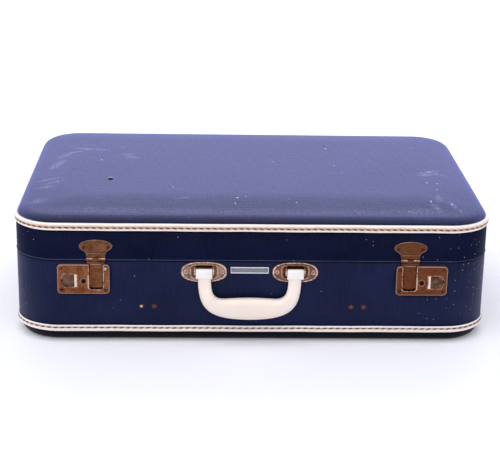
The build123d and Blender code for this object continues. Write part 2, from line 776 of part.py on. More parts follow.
# Fan-shaped plate on the lid, with a knuckle each side of the hasp's barrel
neck_low_z = split_height + split_gap
knuckle_start = tongue_barrel_length / 2 + knuckle_gap
neck = fan_neck_width / 2
ridge = fan_ridge_width / 2
fan_tall = fan_top_z - fan_wide_z
with BuildPart() as fan_plate:
    with BuildSketch(front_plane(0)) as fan_outline:
        with BuildLine():
            Polyline((recess_centre - neck, neck_low_z), (recess_centre + neck, neck_low_z),
                     (recess_centre + ridge, fan_ridge_z), (recess_centre + ridge + fan_flare, fan_wide_z),
                     (recess_centre - ridge - fan_flare, fan_wide_z), (recess_centre - ridge, fan_ridge_z),
                     close=True)
        make_face()
        with Locations((recess_centre, fan_wide_z)):
            Ellipse(fan_width / 2, fan_tall)
        waist = [point for point in fan_outline.vertices() if fan_ridge_z + 0.5 < point.Y < fan_wide_z - 0.5]
        fillet(waist, fan_waist_radius)
    extrude(amount=fan_sheet)
    fillet(fan_plate.faces().sort_by(Axis.Y)[0].edges(), fan_edge)
    add(front_block(recess_centre - ridge, recess_centre + ridge, fan_ridge_z - fan_ridge_height / 2,
                    fan_ridge_z + fan_ridge_height / 2, 0, fan_sheet + fan_ridge_proud))
    add(front_block(recess_centre - knuckle_start, recess_centre + knuckle_start, neck_low_z - 1,
                    knuckle_axis_z + knuckle_radius + knuckle_gap, -1, fan_sheet + 1), mode=Mode.SUBTRACT)
    for flip in (-1, 1):
        ends = sorted((recess_centre + flip * knuckle_start, recess_centre + flip * neck))
        add(cross_bar(ends[0], ends[1], axis_y, knuckle_axis_z, knuckle_radius))
    add(cross_bar(recess_centre - fan_width, recess_centre + fan_width, axis_y, knuckle_axis_z,
                  pin_radius + pin_clearance), mode=Mode.SUBTRACT)
    with BuildSketch(front_plane(0)):
        with Locations(*[point for point in fan_rivet_points if point[0] > 0]):
            Circle(hole_radius)
    extrude(amount=fan_sheet, mode=Mode.SUBTRACT)
write_pair(fan_plate.part, "latch_lid_plate")

with BuildPart() as hasp_pin:
    add(cross_bar(recess_centre - neck - pin_end, recess_centre + neck + pin_end, axis_y, knuckle_axis_z,
                  pin_radius))
write_pair(hasp_pin.part, "hasp_pin")

with BuildPart() as lock_rivets:
    add(round_rivets(lock_rivet_points, front_plane(lock_plate_proud), lock_plate_proud + inner_inset))
finish(lock_rivets, "lock_rivets")

with BuildPart() as latch_lid_rivets:
    add(round_rivets(fan_rivet_points, front_plane(fan_sheet), fan_sheet + inner_inset))
finish(latch_lid_rivets, "latch_lid_rivets")

# Handle plates: two oval plates, each with a rolled rim and a pair of ears for the handle's pin
with BuildPart() as handle_plates:
    for flip in (-1, 1):
        plate_x = handle_centre + flip * handle_arm_x
        with BuildSketch(front_plane(0)):
            with Locations((plate_x, handle_plate_z)):
                SlotOverall(handle_plate_width, handle_plate_height)
        extrude(amount=handle_plate_sheet)
        with BuildSketch(front_plane(0)):
            with Locations((plate_x, handle_plate_z)):
                SlotOverall(handle_plate_width, handle_plate_height)
                SlotOverall(handle_plate_width - 2 * handle_plate_rim,
                            handle_plate_height - 2 * handle_plate_rim, mode=Mode.SUBTRACT)
        extrude(amount=handle_plate_sheet + handle_plate_rim_proud)
        for ear in (-1, 1):
            ear_x = plate_x + ear * (handle_ear_gap + handle_ear_sheet) / 2
            with BuildSketch(Plane(origin=(ear_x - handle_ear_sheet / 2, 0, 0), x_dir=(0, 1, 0),
                                   z_dir=(1, 0, 0))):
                with Locations((front_y - handle_ear_proud / 2, handle_pivot_z)):
                    RectangleRounded(handle_ear_proud, handle_ear_height, handle_ear_height * 0.3)
                with Locations((front_y - handle_ear_proud / 4, handle_pivot_z)):
                    Rectangle(handle_ear_proud / 2, handle_ear_height)
            extrude(amount=handle_ear_sheet)
        add(cross_bar(plate_x - handle_plate_width / 2, plate_x + handle_plate_width / 2,
                      front_y - handle_pivot_proud, handle_pivot_z, handle_pivot_radius + pin_clearance),
            mode=Mode.SUBTRACT)
    add(pegs(handle_rivet_points, hole_radius, front_plane(0), handle_plate_sheet + 1), mode=Mode.SUBTRACT)
finish(handle_plates, "handle_plates")

with BuildPart() as handle_pins:
    pin_reach = handle_ear_gap / 2 + handle_ear_sheet + pin_end
    for flip in (-1, 1):
        plate_x = handle_centre + flip * handle_arm_x
        add(cross_bar(plate_x - pin_reach, plate_x + pin_reach, front_y - handle_pivot_proud, handle_pivot_z,
                      handle_pivot_radius))
finish(handle_pins, "handle_pins")

with BuildPart() as handle_plate_rivets:
    add(round_rivets(handle_rivet_points, front_plane(handle_plate_sheet), handle_plate_sheet + inner_inset))
finish(handle_plate_rivets, "handle_plate_rivets")

# Carrying handle: the front outline, cut to a side profile that is thin at the pins and full at the grip
arm_outer = handle_arm_x + handle_arm_width / 2
arm_inner = handle_arm_x - handle_arm_width / 2
grip_front = handle_to_wall + handle_grip_depth
arm_front = handle_to_wall + handle_arm_depth
with BuildPart() as carrying_handle:
    with BuildSketch(front_plane(handle_to_wall)):
        with BuildLine():
            FilletPolyline((handle_centre + arm_outer, handle_pivot_z),
                           (handle_centre + arm_outer, handle_corner_z),
                           (handle_centre + handle_bottom_x, handle_bottom_z),
                           (handle_centre, handle_grip_low_z),
                           (handle_centre - handle_bottom_x, handle_bottom_z),
                           (handle_centre - arm_outer, handle_corner_z),
                           (handle_centre - arm_outer, handle_pivot_z),
                           radius=[handle_corner_radius, handle_bottom_radius, handle_belly_radius,
                                   handle_bottom_radius, handle_corner_radius])
            Line((handle_centre - arm_outer, handle_pivot_z), (handle_centre - arm_inner, handle_pivot_z))
            FilletPolyline((handle_centre - arm_inner, handle_pivot_z),
                           (handle_centre - arm_inner, handle_grip_high_z),
                           (handle_centre + arm_inner, handle_grip_high_z),
                           (handle_centre + arm_inner, handle_pivot_z), radius=handle_inner_radius)
            Line((handle_centre + arm_inner, handle_pivot_z), (handle_centre + arm_outer, handle_pivot_z))
        make_face()
    extrude(amount=handle_grip_depth)
    fillet(carrying_handle.faces().sort_by(Axis.Y)[0].edges(), handle_edge_round)
    fillet(carrying_handle.faces().sort_by(Axis.Y)[-1].edges(), handle_edge_round)
    with BuildSketch(Plane(origin=(handle_centre - 2 * arm_outer, 0, 0), x_dir=(0, 1, 0), z_dir=(1, 0, 0))):
        with BuildLine():
            Polyline((front_y - handle_to_wall, handle_pivot_z), (front_y - arm_front, handle_pivot_z),
                     (front_y - arm_front, handle_arm_thin_z), (front_y - grip_front, handle_grip_high_z),
                     (front_y - grip_front, handle_grip_low_z), (front_y - handle_to_wall, handle_grip_low_z),
                     close=True)
        make_face()
    extrude(amount=4 * arm_outer, mode=Mode.INTERSECT)
    for flip in (-1, 1):
        eye_x = handle_centre + flip * handle_arm_x
        add(cross_bar(eye_x - handle_eye_width / 2, eye_x + handle_eye_width / 2,
                      front_y - handle_pivot_proud, handle_pivot_z, handle_eye_radius))
    add(cross_bar(handle_centre - 2 * arm_outer, handle_centre + 2 * arm_outer, front_y - handle_pivot_proud,
                  handle_pivot_z, handle_pivot_radius + handle_eye_clearance), mode=Mode.SUBTRACT)
finish(carrying_handle, "carrying_handle")

# Blank nameplate with a pin at each end
with BuildPart() as nameplate:
    with BuildSketch(front_plane(0)):
        with BuildLine():
            tip = nameplate_width / 2
            flat = nameplate_height / 2
            Polyline((handle_centre - tip, nameplate_z),
                     (handle_centre - tip + nameplate_end, nameplate_z - flat),
                     (handle_centre + tip - nameplate_end, nameplate_z - flat),
                     (handle_centre + tip, nameplate_z),
                     (handle_centre + tip - nameplate_end, nameplate_z + flat),
                     (handle_centre - tip + nameplate_end, nameplate_z + flat), close=True)
        make_face()
    extrude(amount=nameplate_sheet)
    chamfer(nameplate.faces().sort_by(Axis.Y)[0].edges(), nameplate_sheet * 0.4)
    add(pegs(nameplate_pin_points, nameplate_pin_radius + rivet_clearance, front_plane(0), nameplate_sheet),
        mode=Mode.SUBTRACT)
finish(nameplate, "nameplate")

with BuildPart() as nameplate_pins:
    add(pegs(nameplate_pin_points, nameplate_pin_radius, front_plane(-inner_inset),
             inner_inset + nameplate_sheet))
    add(pegs(nameplate_pin_points, nameplate_pin_radius * 1.5, front_plane(nameplate_sheet),
             nameplate_pin_proud))
finish(nameplate_pins, "nameplate_pins")


def strap_block(inset, floor_z, top_z, rim):
    """Block over the straps' width whose lower edges follow the lining's rounded rim."""
    with BuildPart() as block:
        for side in (-1, 1):
            with BuildSketch(Plane(origin=(side * strap_x - strap_width / 2, 0, 0), x_dir=(0, 1, 0),
                                   z_dir=(1, 0, 0))) as outline:
                with Locations((0, (floor_z + top_z) / 2)):
                    Rectangle(case_depth - 2 * inset, top_z - floor_z)
                fillet(outline.vertices().group_by(Axis.Y)[0], rim)
            extrude(amount=strap_width)
    return block.part


# Packing straps along the floor and up the front and back walls, with a buckle on each
strap_inset = lining_inset + strap_clearance
strap_floor_z = panel_board + lining_thickness + strap_clearance
strap_rim = rim_radius - panel_board - lining_thickness
with BuildPart() as packing_straps:
    add(strap_block(strap_inset, strap_floor_z, strap_top_z, strap_rim))
    add(strap_block(strap_inset + strap_thickness, strap_floor_z + strap_thickness, strap_top_z + 1,
                    strap_rim - strap_thickness), mode=Mode.SUBTRACT)
    add(strap_holes, mode=Mode.SUBTRACT)
finish(packing_straps, "packing_straps")

with BuildPart() as strap_rivets:
    add(round_rivets(strap_rivet_points, front_plane(0), strap_rivet_depth))
    add(round_rivets(strap_rivet_points, back_plane(0), strap_rivet_depth))
finish(strap_rivets, "strap_rivets")

with BuildPart() as strap_buckles:
    with BuildSketch(Plane.XY.offset(strap_floor_z + strap_thickness)):
        for side in (-1, 1):
            with Locations((side * strap_x, buckle_y)):
                RectangleRounded(buckle_width, buckle_length, buckle_bar)
                Rectangle(buckle_width - 2 * buckle_bar, buckle_length - 2 * buckle_bar, mode=Mode.SUBTRACT)
                Rectangle(buckle_width - buckle_bar, buckle_bar)
    extrude(amount=buckle_thickness)
    fillet(strap_buckles.faces().sort_by(Axis.Z)[-1].edges().filter_by(GeomType.LINE), buckle_thickness * 0.2)
finish(strap_buckles, "strap_buckles")

# Back hinges: the base leaves carry the outer knuckles and the lid leaves the middle one
hinge_reach = hinge_knuckle_radius + hinge_knuckle_gap + 0.1


def hinge_leaves(up, knuckle_spans):
    """Leaves on the back wall, above the hinge axis if up is 1 and below it if up is -1."""
    near_z = split_height + up * hinge_reach
    far_z = split_height + up * (hinge_reach + hinge_leaf_height)
    with BuildPart() as leaves:
        for side in (-1, 1):
            with BuildSketch(back_plane(0)) as leaf:
                with Locations((side * hinge_x, (near_z + far_z) / 2)):
                    RectangleRounded(hinge_leaf_width, hinge_leaf_height, hinge_leaf_corner)
                with Locations((side * hinge_x, near_z + up * hinge_leaf_corner)):
                    Rectangle(hinge_leaf_width, 2 * hinge_leaf_corner)
            extrude(amount=hinge_leaf_sheet)
            for span in knuckle_spans:
                start, end = side * hinge_x + span[0], side * hinge_x + span[1]
                web_z = split_height + up * split_gap / 2
                with BuildSketch(back_plane(0)):
                    with Locations((-(start + end) / 2, (near_z + up + web_z) / 2)):
                        Rectangle(end - start, abs(near_z + up - web_z))
                extrude(amount=hinge_leaf_sheet)
                add(cross_bar(start, end, hinge_axis_y, split_height, hinge_knuckle_radius))
        add(cross_bar(-half_width, half_width, hinge_axis_y, split_height, pin_radius + pin_clearance),
            mode=Mode.SUBTRACT)
        points = hinge_base_points if up < 0 else hinge_lid_points
        add(pegs(points, hole_radius, back_plane(0), hinge_leaf_sheet), mode=Mode.SUBTRACT)
    return leaves.part


knuckle_half = hinge_leaf_width / 6
with BuildPart() as hinge_base_leaves:
    add(hinge_leaves(-1, [(-hinge_leaf_width / 2, -knuckle_half), (knuckle_half, hinge_leaf_width / 2)]))
finish(hinge_base_leaves, "hinge_base_leaves")

with BuildPart() as hinge_lid_leaves:
    add(hinge_leaves(1, [(-knuckle_half + hinge_knuckle_gap, knuckle_half - hinge_knuckle_gap)]))
finish(hinge_lid_leaves, "hinge_lid_leaves")

with BuildPart() as hinge_pins:
    for side in (-1, 1):
        add(cross_bar(side * hinge_x - hinge_leaf_width / 2 - pin_end,
                      side * hinge_x + hinge_leaf_width / 2 + pin_end, hinge_axis_y, split_height, pin_radius))
finish(hinge_pins, "hinge_pins")

with BuildPart() as hinge_base_rivets:
    add(round_rivets(hinge_base_points, back_plane(hinge_leaf_sheet), hinge_leaf_sheet + inner_inset))
finish(hinge_base_rivets, "hinge_base_rivets")

with BuildPart() as hinge_lid_rivets:
    add(round_rivets(hinge_lid_points, back_plane(hinge_leaf_sheet), hinge_leaf_sheet + inner_inset))
finish(hinge_lid_rivets, "hinge_lid_rivets")
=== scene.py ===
import math
from functools import partial
import bpy
import numpy as np
from mathutils import Matrix


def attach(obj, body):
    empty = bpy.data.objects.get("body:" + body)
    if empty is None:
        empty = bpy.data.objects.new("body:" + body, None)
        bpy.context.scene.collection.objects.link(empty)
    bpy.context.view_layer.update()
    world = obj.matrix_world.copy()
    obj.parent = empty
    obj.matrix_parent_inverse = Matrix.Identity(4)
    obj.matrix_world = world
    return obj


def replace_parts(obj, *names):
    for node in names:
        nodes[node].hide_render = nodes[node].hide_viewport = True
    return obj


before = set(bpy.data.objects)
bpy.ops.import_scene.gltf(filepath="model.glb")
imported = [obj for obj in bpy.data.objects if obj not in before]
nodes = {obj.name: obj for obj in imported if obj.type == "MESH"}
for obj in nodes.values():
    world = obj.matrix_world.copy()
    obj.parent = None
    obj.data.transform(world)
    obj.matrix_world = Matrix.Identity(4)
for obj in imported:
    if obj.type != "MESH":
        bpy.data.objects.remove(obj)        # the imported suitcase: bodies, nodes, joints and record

bpy.context.scene.view_settings.view_transform = "Standard"
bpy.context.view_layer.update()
mm = 0.001
print("packed suitcase loaded,", len(nodes), "nodes")

# Sizes of the case in mm, the same as in the part's source
case = {
    "halfWidth": 300.0, "halfDepth": 200.0, "height": 172.0, "corner": 55.0,
    "lidLow": 109.6, "baseHigh": 109.0, "wallEnd": 16.4, "board": 3.0, "sheet": 2.5,
    "rim": 13.0, "flange": 24.0, "trimStart": 14.0, "trimHeight": 9.4,
}


# sRGB hex to linear: v / 12.92 up to 0.04045, above it ((v + 0.055) / 1.055) to the power 2.4.
def hexToLinear(code):
    v = np.array([int(code[i:i + 2], 16) for i in (1, 3, 5)]) / 255
    v = np.where(v <= 0.04045, v / 12.92, ((v + 0.055) / 1.055) ** 2.4)
    return (*(float(c) for c in v), 1.0)


# Sets up a node: names with a small first letter are its properties, the others its sockets. A socket takes a value,
# a colour as sRGB hex, an output, or a node for its first output.
def setUp(node, settings):
    for key, value in settings.items():
        if isinstance(value, bpy.types.Node):
            value = value.outputs[0]
        if isinstance(key, str) and key[0].islower():
            setattr(node, key, value)
        elif isinstance(value, bpy.types.NodeSocket):
            node.id_data.links.new(value, node.inputs[key])
        else:
            node.inputs[key].default_value = hexToLinear(value) if isinstance(value, str) else value


# Adds one shader node with its settings and links; a kind can end with the node's operation
def addNode(tree, kind, settings=()):
    kind, *operation = kind.split()
    node = tree.nodes.new("ShaderNode" + kind)
    setUp(node, {**{"operation": name for name in operation}, **dict(settings)})
    return node


# New object, linked to the scene
def addObject(name, data):
    made = bpy.data.objects.new(name, data)
    bpy.context.scene.collection.objects.link(made)
    return made


# Empty material with one principled shader on its output; returns the material, what adds a node to it, the shader
def startMaterial(name, shader):
    made = bpy.data.materials.new(name)
    made.use_nodes = True
    made.node_tree.nodes.clear()
    add = partial(addNode, made.node_tree)
    surface = add("BsdfPrincipled", shader)
    add("OutputMaterial", {"Surface": surface})
    return made, add, surface


camera = {"place": (-57.3, -1826.2, 709.7), "pitch": 18.589, "yaw": 2.707, "roll": 1.301,
          "focalPixels": 1390.1, "centreShift": (20.36, -10.08), "width": 500.0}


# Camera fitted to the photograph: it looks along (sin yaw cos pitch, cos yaw cos pitch, -sin pitch), and its
# right and up axes are turned by roll about that line.
def placeCamera(cfg):
    yaw, pitch, roll = (math.radians(cfg[k]) for k in ("yaw", "pitch", "roll"))
    ahead = np.array([math.sin(yaw) * math.cos(pitch), math.cos(yaw) * math.cos(pitch), -math.sin(pitch)])
    flatRight = np.array([math.cos(yaw), -math.sin(yaw), 0.0])
    flatUp = np.cross(flatRight, ahead)
    right = math.cos(roll) * flatRight + math.sin(roll) * flatUp
    up = -math.sin(roll) * flatRight + math.cos(roll) * flatUp
    lens = bpy.data.cameras.new("photoCamera")
    lens.lens = cfg["focalPixels"] * 36 / cfg["width"]
    lens.shift_x = -cfg["centreShift"][0] / cfg["width"]
    lens.shift_y = cfg["centreShift"][1] / cfg["width"]
    lens.clip_start, lens.clip_end = 0.05, 60
    made = addObject("photoCamera", lens)
    turn = np.stack([right, up, -ahead], axis=1)
    made.matrix_world = Matrix.Translation([v * mm for v in cfg["place"]]) @ Matrix(turn.tolist()).to_4x4()
    bpy.context.scene.camera = made


studio = {"skyColour": "#EEF0FF", "sky": 0.70, "sun": 1.3, "sunAngle": 70, "sunTilt": (24, -14),
          "backLamp": 34.0, "backLampSize": (3.4, 2.6), "backLampPlace": (0.0, 2.5, 1.6),
          "floorColour": "#FAFAFE", "floorLift": 0.10, "floorSize": 30.0}


# White world that the camera and glossy rays see as paper white, one very soft sun, and a pale floor.
def lightStudio(cfg):
    world = bpy.data.worlds.new("studioWorld")
    bpy.context.scene.world = world
    world.use_nodes = True
    world.node_tree.nodes.clear()
    add = partial(addNode, world.node_tree)
    ray = add("LightPath")
    sky = add("Background", {"Color": cfg["skyColour"], "Strength": cfg["sky"]})
    paper = add("Background", {"Color": (1, 1, 1, 1), "Strength": 1.0})
    both = add("Math MAXIMUM", {0: ray.outputs["Is Camera Ray"], 1: ray.outputs["Is Glossy Ray"]})
    clear = add("Math MAXIMUM", {0: both, 1: ray.outputs["Is Transmission Ray"]})
    seen = add("MixShader", {0: clear, 1: sky, 2: paper})
    add("OutputWorld", {"Surface": seen})
    sun = bpy.data.lights.new("softSun", "SUN")
    sun.energy, sun.angle = cfg["sun"], math.radians(cfg["sunAngle"])
    lamp = addObject("softSun", sun)
    lamp.rotation_euler = [math.radians(v) for v in (*cfg["sunTilt"], 0)]
    glow = bpy.data.lights.new("backLamp", "AREA")        # softbox behind the case, which whitens the background
    glow.shape, glow.energy = "RECTANGLE", cfg["backLamp"]
    glow.size, glow.size_y = cfg["backLampSize"]
    back = addObject("backLamp", glow)
    back.location, back.rotation_euler = cfg["backLampPlace"], (math.radians(-80), 0, 0)
    back.visible_camera = False
    size = cfg["floorSize"]
    mesh = bpy.data.meshes.new("studioFloor")
    mesh.from_pydata([(-size, -size, 0), (size, -size, 0), (size, size, 0), (-size, size, 0)], [], [(0, 1, 2, 3)])
    floor = addObject("studioFloor", mesh)
    paint, add, surface = startMaterial("paperFloor", {"Base Color": cfg["floorColour"], "Roughness": 0.9,
                                                       "Specular IOR Level": 0.1, "Emission Color": (1, 1, 1, 1)})
    ray = add("LightPath")
    lift = add("Math MULTIPLY", {0: ray.outputs["Is Camera Ray"], 1: cfg["floorLift"]})
    setUp(surface, {"Emission Strength": lift})
    mesh.materials.append(paint)


placeCamera(camera)
lightStudio(studio)
print("camera, light and floor placed")

# Covering of the case: book cloth coated with navy PVC. Sizes in mm, marks as (x, y, half length, half width,
# turned by degrees, strength) on the lid, seen from above.
vinyl = {
    "ribMm": 1.9, "ribLongMm": 42.0,        # the real emboss is about 0.9 mm, too fine for a pixel of 1.3 mm
    "speckCellMm": 9.0, "speckMm": 0.62, "speckShare": 0.035, "speckShareRight": 0.5,
    "dustFromX": (0.20, 0.285), "dustFromY": (-0.13, -0.19), "bumpMm": {True: 1.3, False: 0.6},
    # The dark band colour is painted shade under the lid's rolled edge and under the lid trim, and it also darkens a
    # band along the top of the base trim. The pale edge colour is wear and a painted highlight along the lid's rolled
    # lower edge.
    "dust": "#C4C8D6", "paleScuffAndSheen": "#CDD1EA", "chip": "#E4E6F2", "darkBand": "#05060F", "wornEdgeAndHighlight": "#4C5372",
    "chips": [(-205, 32, 1.1, 1.5, 0, 0.9), (-103, -91, 1.1, 1.2, 0, 0.8), (-20, -132, 1.9, 1.1, 10, 1.0),
              (111, 102, 2.0, 1.2, 0, 1.0), (33, 33, 1.1, 1.2, 0, 0.7), (116, 14, 1.0, 1.3, 0, 0.8),
              (124, -19, 0.7, 1.2, 0, 0.7), (55, -146, 1.2, 0.9, 0, 0.8), (234, -62, 1.0, 1.8, 20, 0.9),
              (247, -66, 0.8, 2.0, 0, 0.8), (-180, 99, 2.8, 0.8, 0, 0.5), (238, 107, 0.8, 1.4, 0, 0.6),
              (-23, -150, 0.7, 4.2, 12, 0.4), (-9, -128, 0.6, 3.4, -35, 0.35), (243, -92, 0.7, 2.8, -6, 0.6),
              (228, -139, 0.8, 3.6, 8, 0.8), (254, -147, 0.8, 3.4, -18, 0.7), (262, -166, 0.7, 2.6, 30, 0.5),
              (219, -166, 0.6, 1.4, 0, 0.6), (196, -170, 1.2, 0.7, 0, 0.5)],
    "rubMarksAndFrontSheen": [(-228, 88, 20, 2.6, -14, 1.0), (-205, 85, 10, 1.6, -30, 0.8), (-246, 70, 18, 2.4, 38, 0.9),
               (-258, 52, 12, 4, 60, 0.8), (-262, 14, 14, 5, 68, 1.0), (-266, -2, 10, 4, 55, 0.9),
               (-266, -58, 13, 3, 28, 0.8), (-258, -72, 12, 2.6, 40, 0.8), (-268, -92, 10, 5, 10, 0.6),
               (-272, -142, 9, 7, 30, 0.5), (-170, 62, 11, 4, 20, 0.55), (-164, 48, 9, 6, -30, 0.6),
               (-88, -133, 10, 3, 12, 0.5), (244, -12, 13, 4, 30, 1.0), (252, -20, 10, 3, -40, 0.9),
               (236, -26, 8, 5, 0, 0.7), (240, -127, 4, 12, -8, 0.6), (232, -160, 4, 10, 12, 0.7),
               # The four long faint marks at y -172 to -174 are no scuffs: they are a painted sheen along the lid's
               # sloping front edge
               (255, -150, 3, 10, 14, 0.6), (210, -172, 30, 9, 0, 0.3), (100, -174, 90, 7, 1, 0.2),
               (-60, -174, 90, 7, 0, 0.2), (-190, -172, 60, 8, 0, 0.25)],
    "dents": [(-187, -56, 3.3, 4.4), (-204.5, 27.5, 1.1, 1.5), (109, 118, 0.9, 1.5)], "dentRim": 2.4,
}


# Largest of several marks: each one is 1 within an ellipse and falls to 0 past it, times its strength
def marks(add, skin, listed, soft):
    total = None
    for x, y, long, wide, turned, strength in listed:
        local = add("Mapping", {"vector_type": "TEXTURE", 0: skin, 1: (x * mm, y * mm, 0),
                                2: (0, 0, math.radians(turned)), 3: (long * mm, wide * mm, 1)})
        away = add("VectorMath LENGTH", {0: local})
        part = add("MapRange", {0: away.outputs["Value"], 1: 1 + soft, 2: 1 - soft, 4: strength})
        total = part if total is None else add("Math MAXIMUM", {0: total, 1: part})
    return total


# Colour over another one where the amount is 1
def over(add, under, colour, amount):
    return add("Mix", {"data_type": "RGBA", 0: amount, 6: under, 7: colour}).outputs[2]


# Embossed vinyl on the map "skin", which holds metres walked along the covering. Two noises, each stretched along
# one direction, stand for warp and weft; they break up like worn cloth and never beat with the pixels. On top lie
# faint mottling, dust specks (one chance per cell of a Voronoi pattern), and, by place, scuffs, chips and edges.
# On the lid, the scuff marks include a faint pale band along the front edge, a painted sheen; the edges are bands by
# height, some of them painted shade and one partly a painted highlight.
def embossedVinyl(name, cfg, tones, shader, onLid=False, edges=()):
    made, add, surface = startMaterial(name, shader)
    skin = add("UVMap", {"uv_map": "skin"})
    place = add("TexCoord").outputs["Object"]
    threads = []
    for along in (0, 1):
        sizes = [1 / (cfg["ribMm"] * mm), 1 / (cfg["ribLongMm"] * mm)]
        stretched = add("VectorMath MULTIPLY", {0: skin, 1: (sizes[along], sizes[1 - along], 1)})
        threads.append(add("TexNoise", {"noise_dimensions": "2D", "Scale": 1.0, "Detail": 2.5,
                                        "Roughness": 0.65, "Vector": stretched}))
    woven = add("Math MULTIPLY_ADD", {0: threads[1], 1: 0.3, 2: threads[0]})
    relief = add("Bump", {"Strength": 0.9, "Distance": cfg["bumpMm"][onLid] * mm, "Height": woven})
    setUp(surface, {"Normal": relief})
    slow = add("TexNoise", {"Scale": 14.0, "Detail": 5.0, "Roughness": 0.6, "Vector": place})
    slowTone = add("MapRange", {0: slow, 1: 0.36, 2: 0.64, 4: 0.7})
    fineTone = add("MapRange", {0: woven, 1: 0.45, 2: 0.85, 4: 0.7})
    tone = add("Math ADD", {0: slowTone, 1: fineTone})
    colour = over(add, tones[0], tones[1], tone)
    # dust: more of it at the right front corner, as on the real case
    cells = add("TexVoronoi", {"voronoi_dimensions": "2D", "Scale": 1 / (cfg["speckCellMm"] * mm), "Vector": skin})
    chance = add("SeparateColor", {0: cells.outputs["Color"]})
    axes = add("SeparateXYZ", {0: place})
    right = add("MapRange", {0: axes.outputs[0], 1: cfg["dustFromX"][0], 2: cfg["dustFromX"][1]})
    front = add("MapRange", {0: axes.outputs[1], 1: cfg["dustFromY"][0], 2: cfg["dustFromY"][1], 3: 0.15})
    corner = add("Math MULTIPLY", {0: right, 1: front})
    share = add("MapRange", {0: corner, 3: cfg["speckShare"], 4: cfg["speckShareRight"]})
    picked = add("Math LESS_THAN", {0: chance.outputs[0], 1: share})
    reach = cfg["speckMm"] / cfg["speckCellMm"]
    dot = add("MapRange", {0: cells.outputs["Distance"], 1: reach, 2: reach * 0.4})
    strong = add("Math MULTIPLY", {0: dot, 1: picked})
    faint = add("MapRange", {0: chance.outputs[1], 3: 0.25})
    speck = add("Math MULTIPLY", {0: strong, 1: faint})
    colour = over(add, colour, cfg["dust"], speck)
    if onLid:
        # scuffs, and a painted sheen along the lid's front edge, in one pale colour broken up by grit
        grit = add("TexNoise", {"Scale": 310.0, "Detail": 5.0, "Roughness": 0.85, "Vector": place})
        grittyBreakup = add("MapRange", {0: grit, 1: 0.47, 2: 0.62, 4: 0.85})
        patch = add("Math MULTIPLY", {0: marks(add, skin, cfg["rubMarksAndFrontSheen"], 0.7), 1: grittyBreakup})
        colour = over(add, colour, cfg["paleScuffAndSheen"], patch)
        colour = over(add, colour, cfg["chip"], marks(add, skin, cfg["chips"], 0.3))
    for low, high, tint, strength in edges:
        middle, half = (low + high) / 2 * mm, (high - low) / 2 * mm
        off = add("Math SUBTRACT", {0: axes.outputs[2], 1: middle})
        off = add("Math ABSOLUTE", {0: off})
        line = add("MapRange", {0: off, 1: half + 0.3 * mm, 2: half - 0.3 * mm, 4: strength})
        uneven = add("MapRange", {0: slow, 1: 0.3, 2: 0.6, 3: 0.45})
        line = add("Math MULTIPLY", {0: line, 1: uneven})
        colour = over(add, colour, tint, line)
    setUp(surface, {"Base Color": colour})
    return made


# Rounded rectangle seen on the front wall: distance from its outline in metres, less than 0 inside. The left half
# of the case mirrors the right, so x is taken without its sign unless the shape stands alone.
def plateDistance(add, place, shape, mirrored=True):
    cx, cz, halfWide, halfHigh, corner = (v * mm for v in shape)
    flat = add("VectorMath MULTIPLY", {0: place, 1: (1, 0, 1)})
    if mirrored:
        flat = add("VectorMath ABSOLUTE", {0: flat})
    local = add("VectorMath SUBTRACT", {0: flat, 1: (cx, 0, cz)})
    away = add("VectorMath ABSOLUTE", {0: local})
    past = add("VectorMath SUBTRACT", {0: away, 1: (halfWide - corner, 0, halfHigh - corner)})
    out = add("VectorMath MAXIMUM", {0: past, 1: (0, 0, 0)})
    far = add("VectorMath LENGTH", {0: out})
    return add("Math SUBTRACT", {0: far.outputs["Value"], 1: corner})


# The first colour is painted shade for hollows on the handle plates; the second is old glue and dirt on the piping.
cavityShade, gluedDirt = "#120B08", "#A58A72"
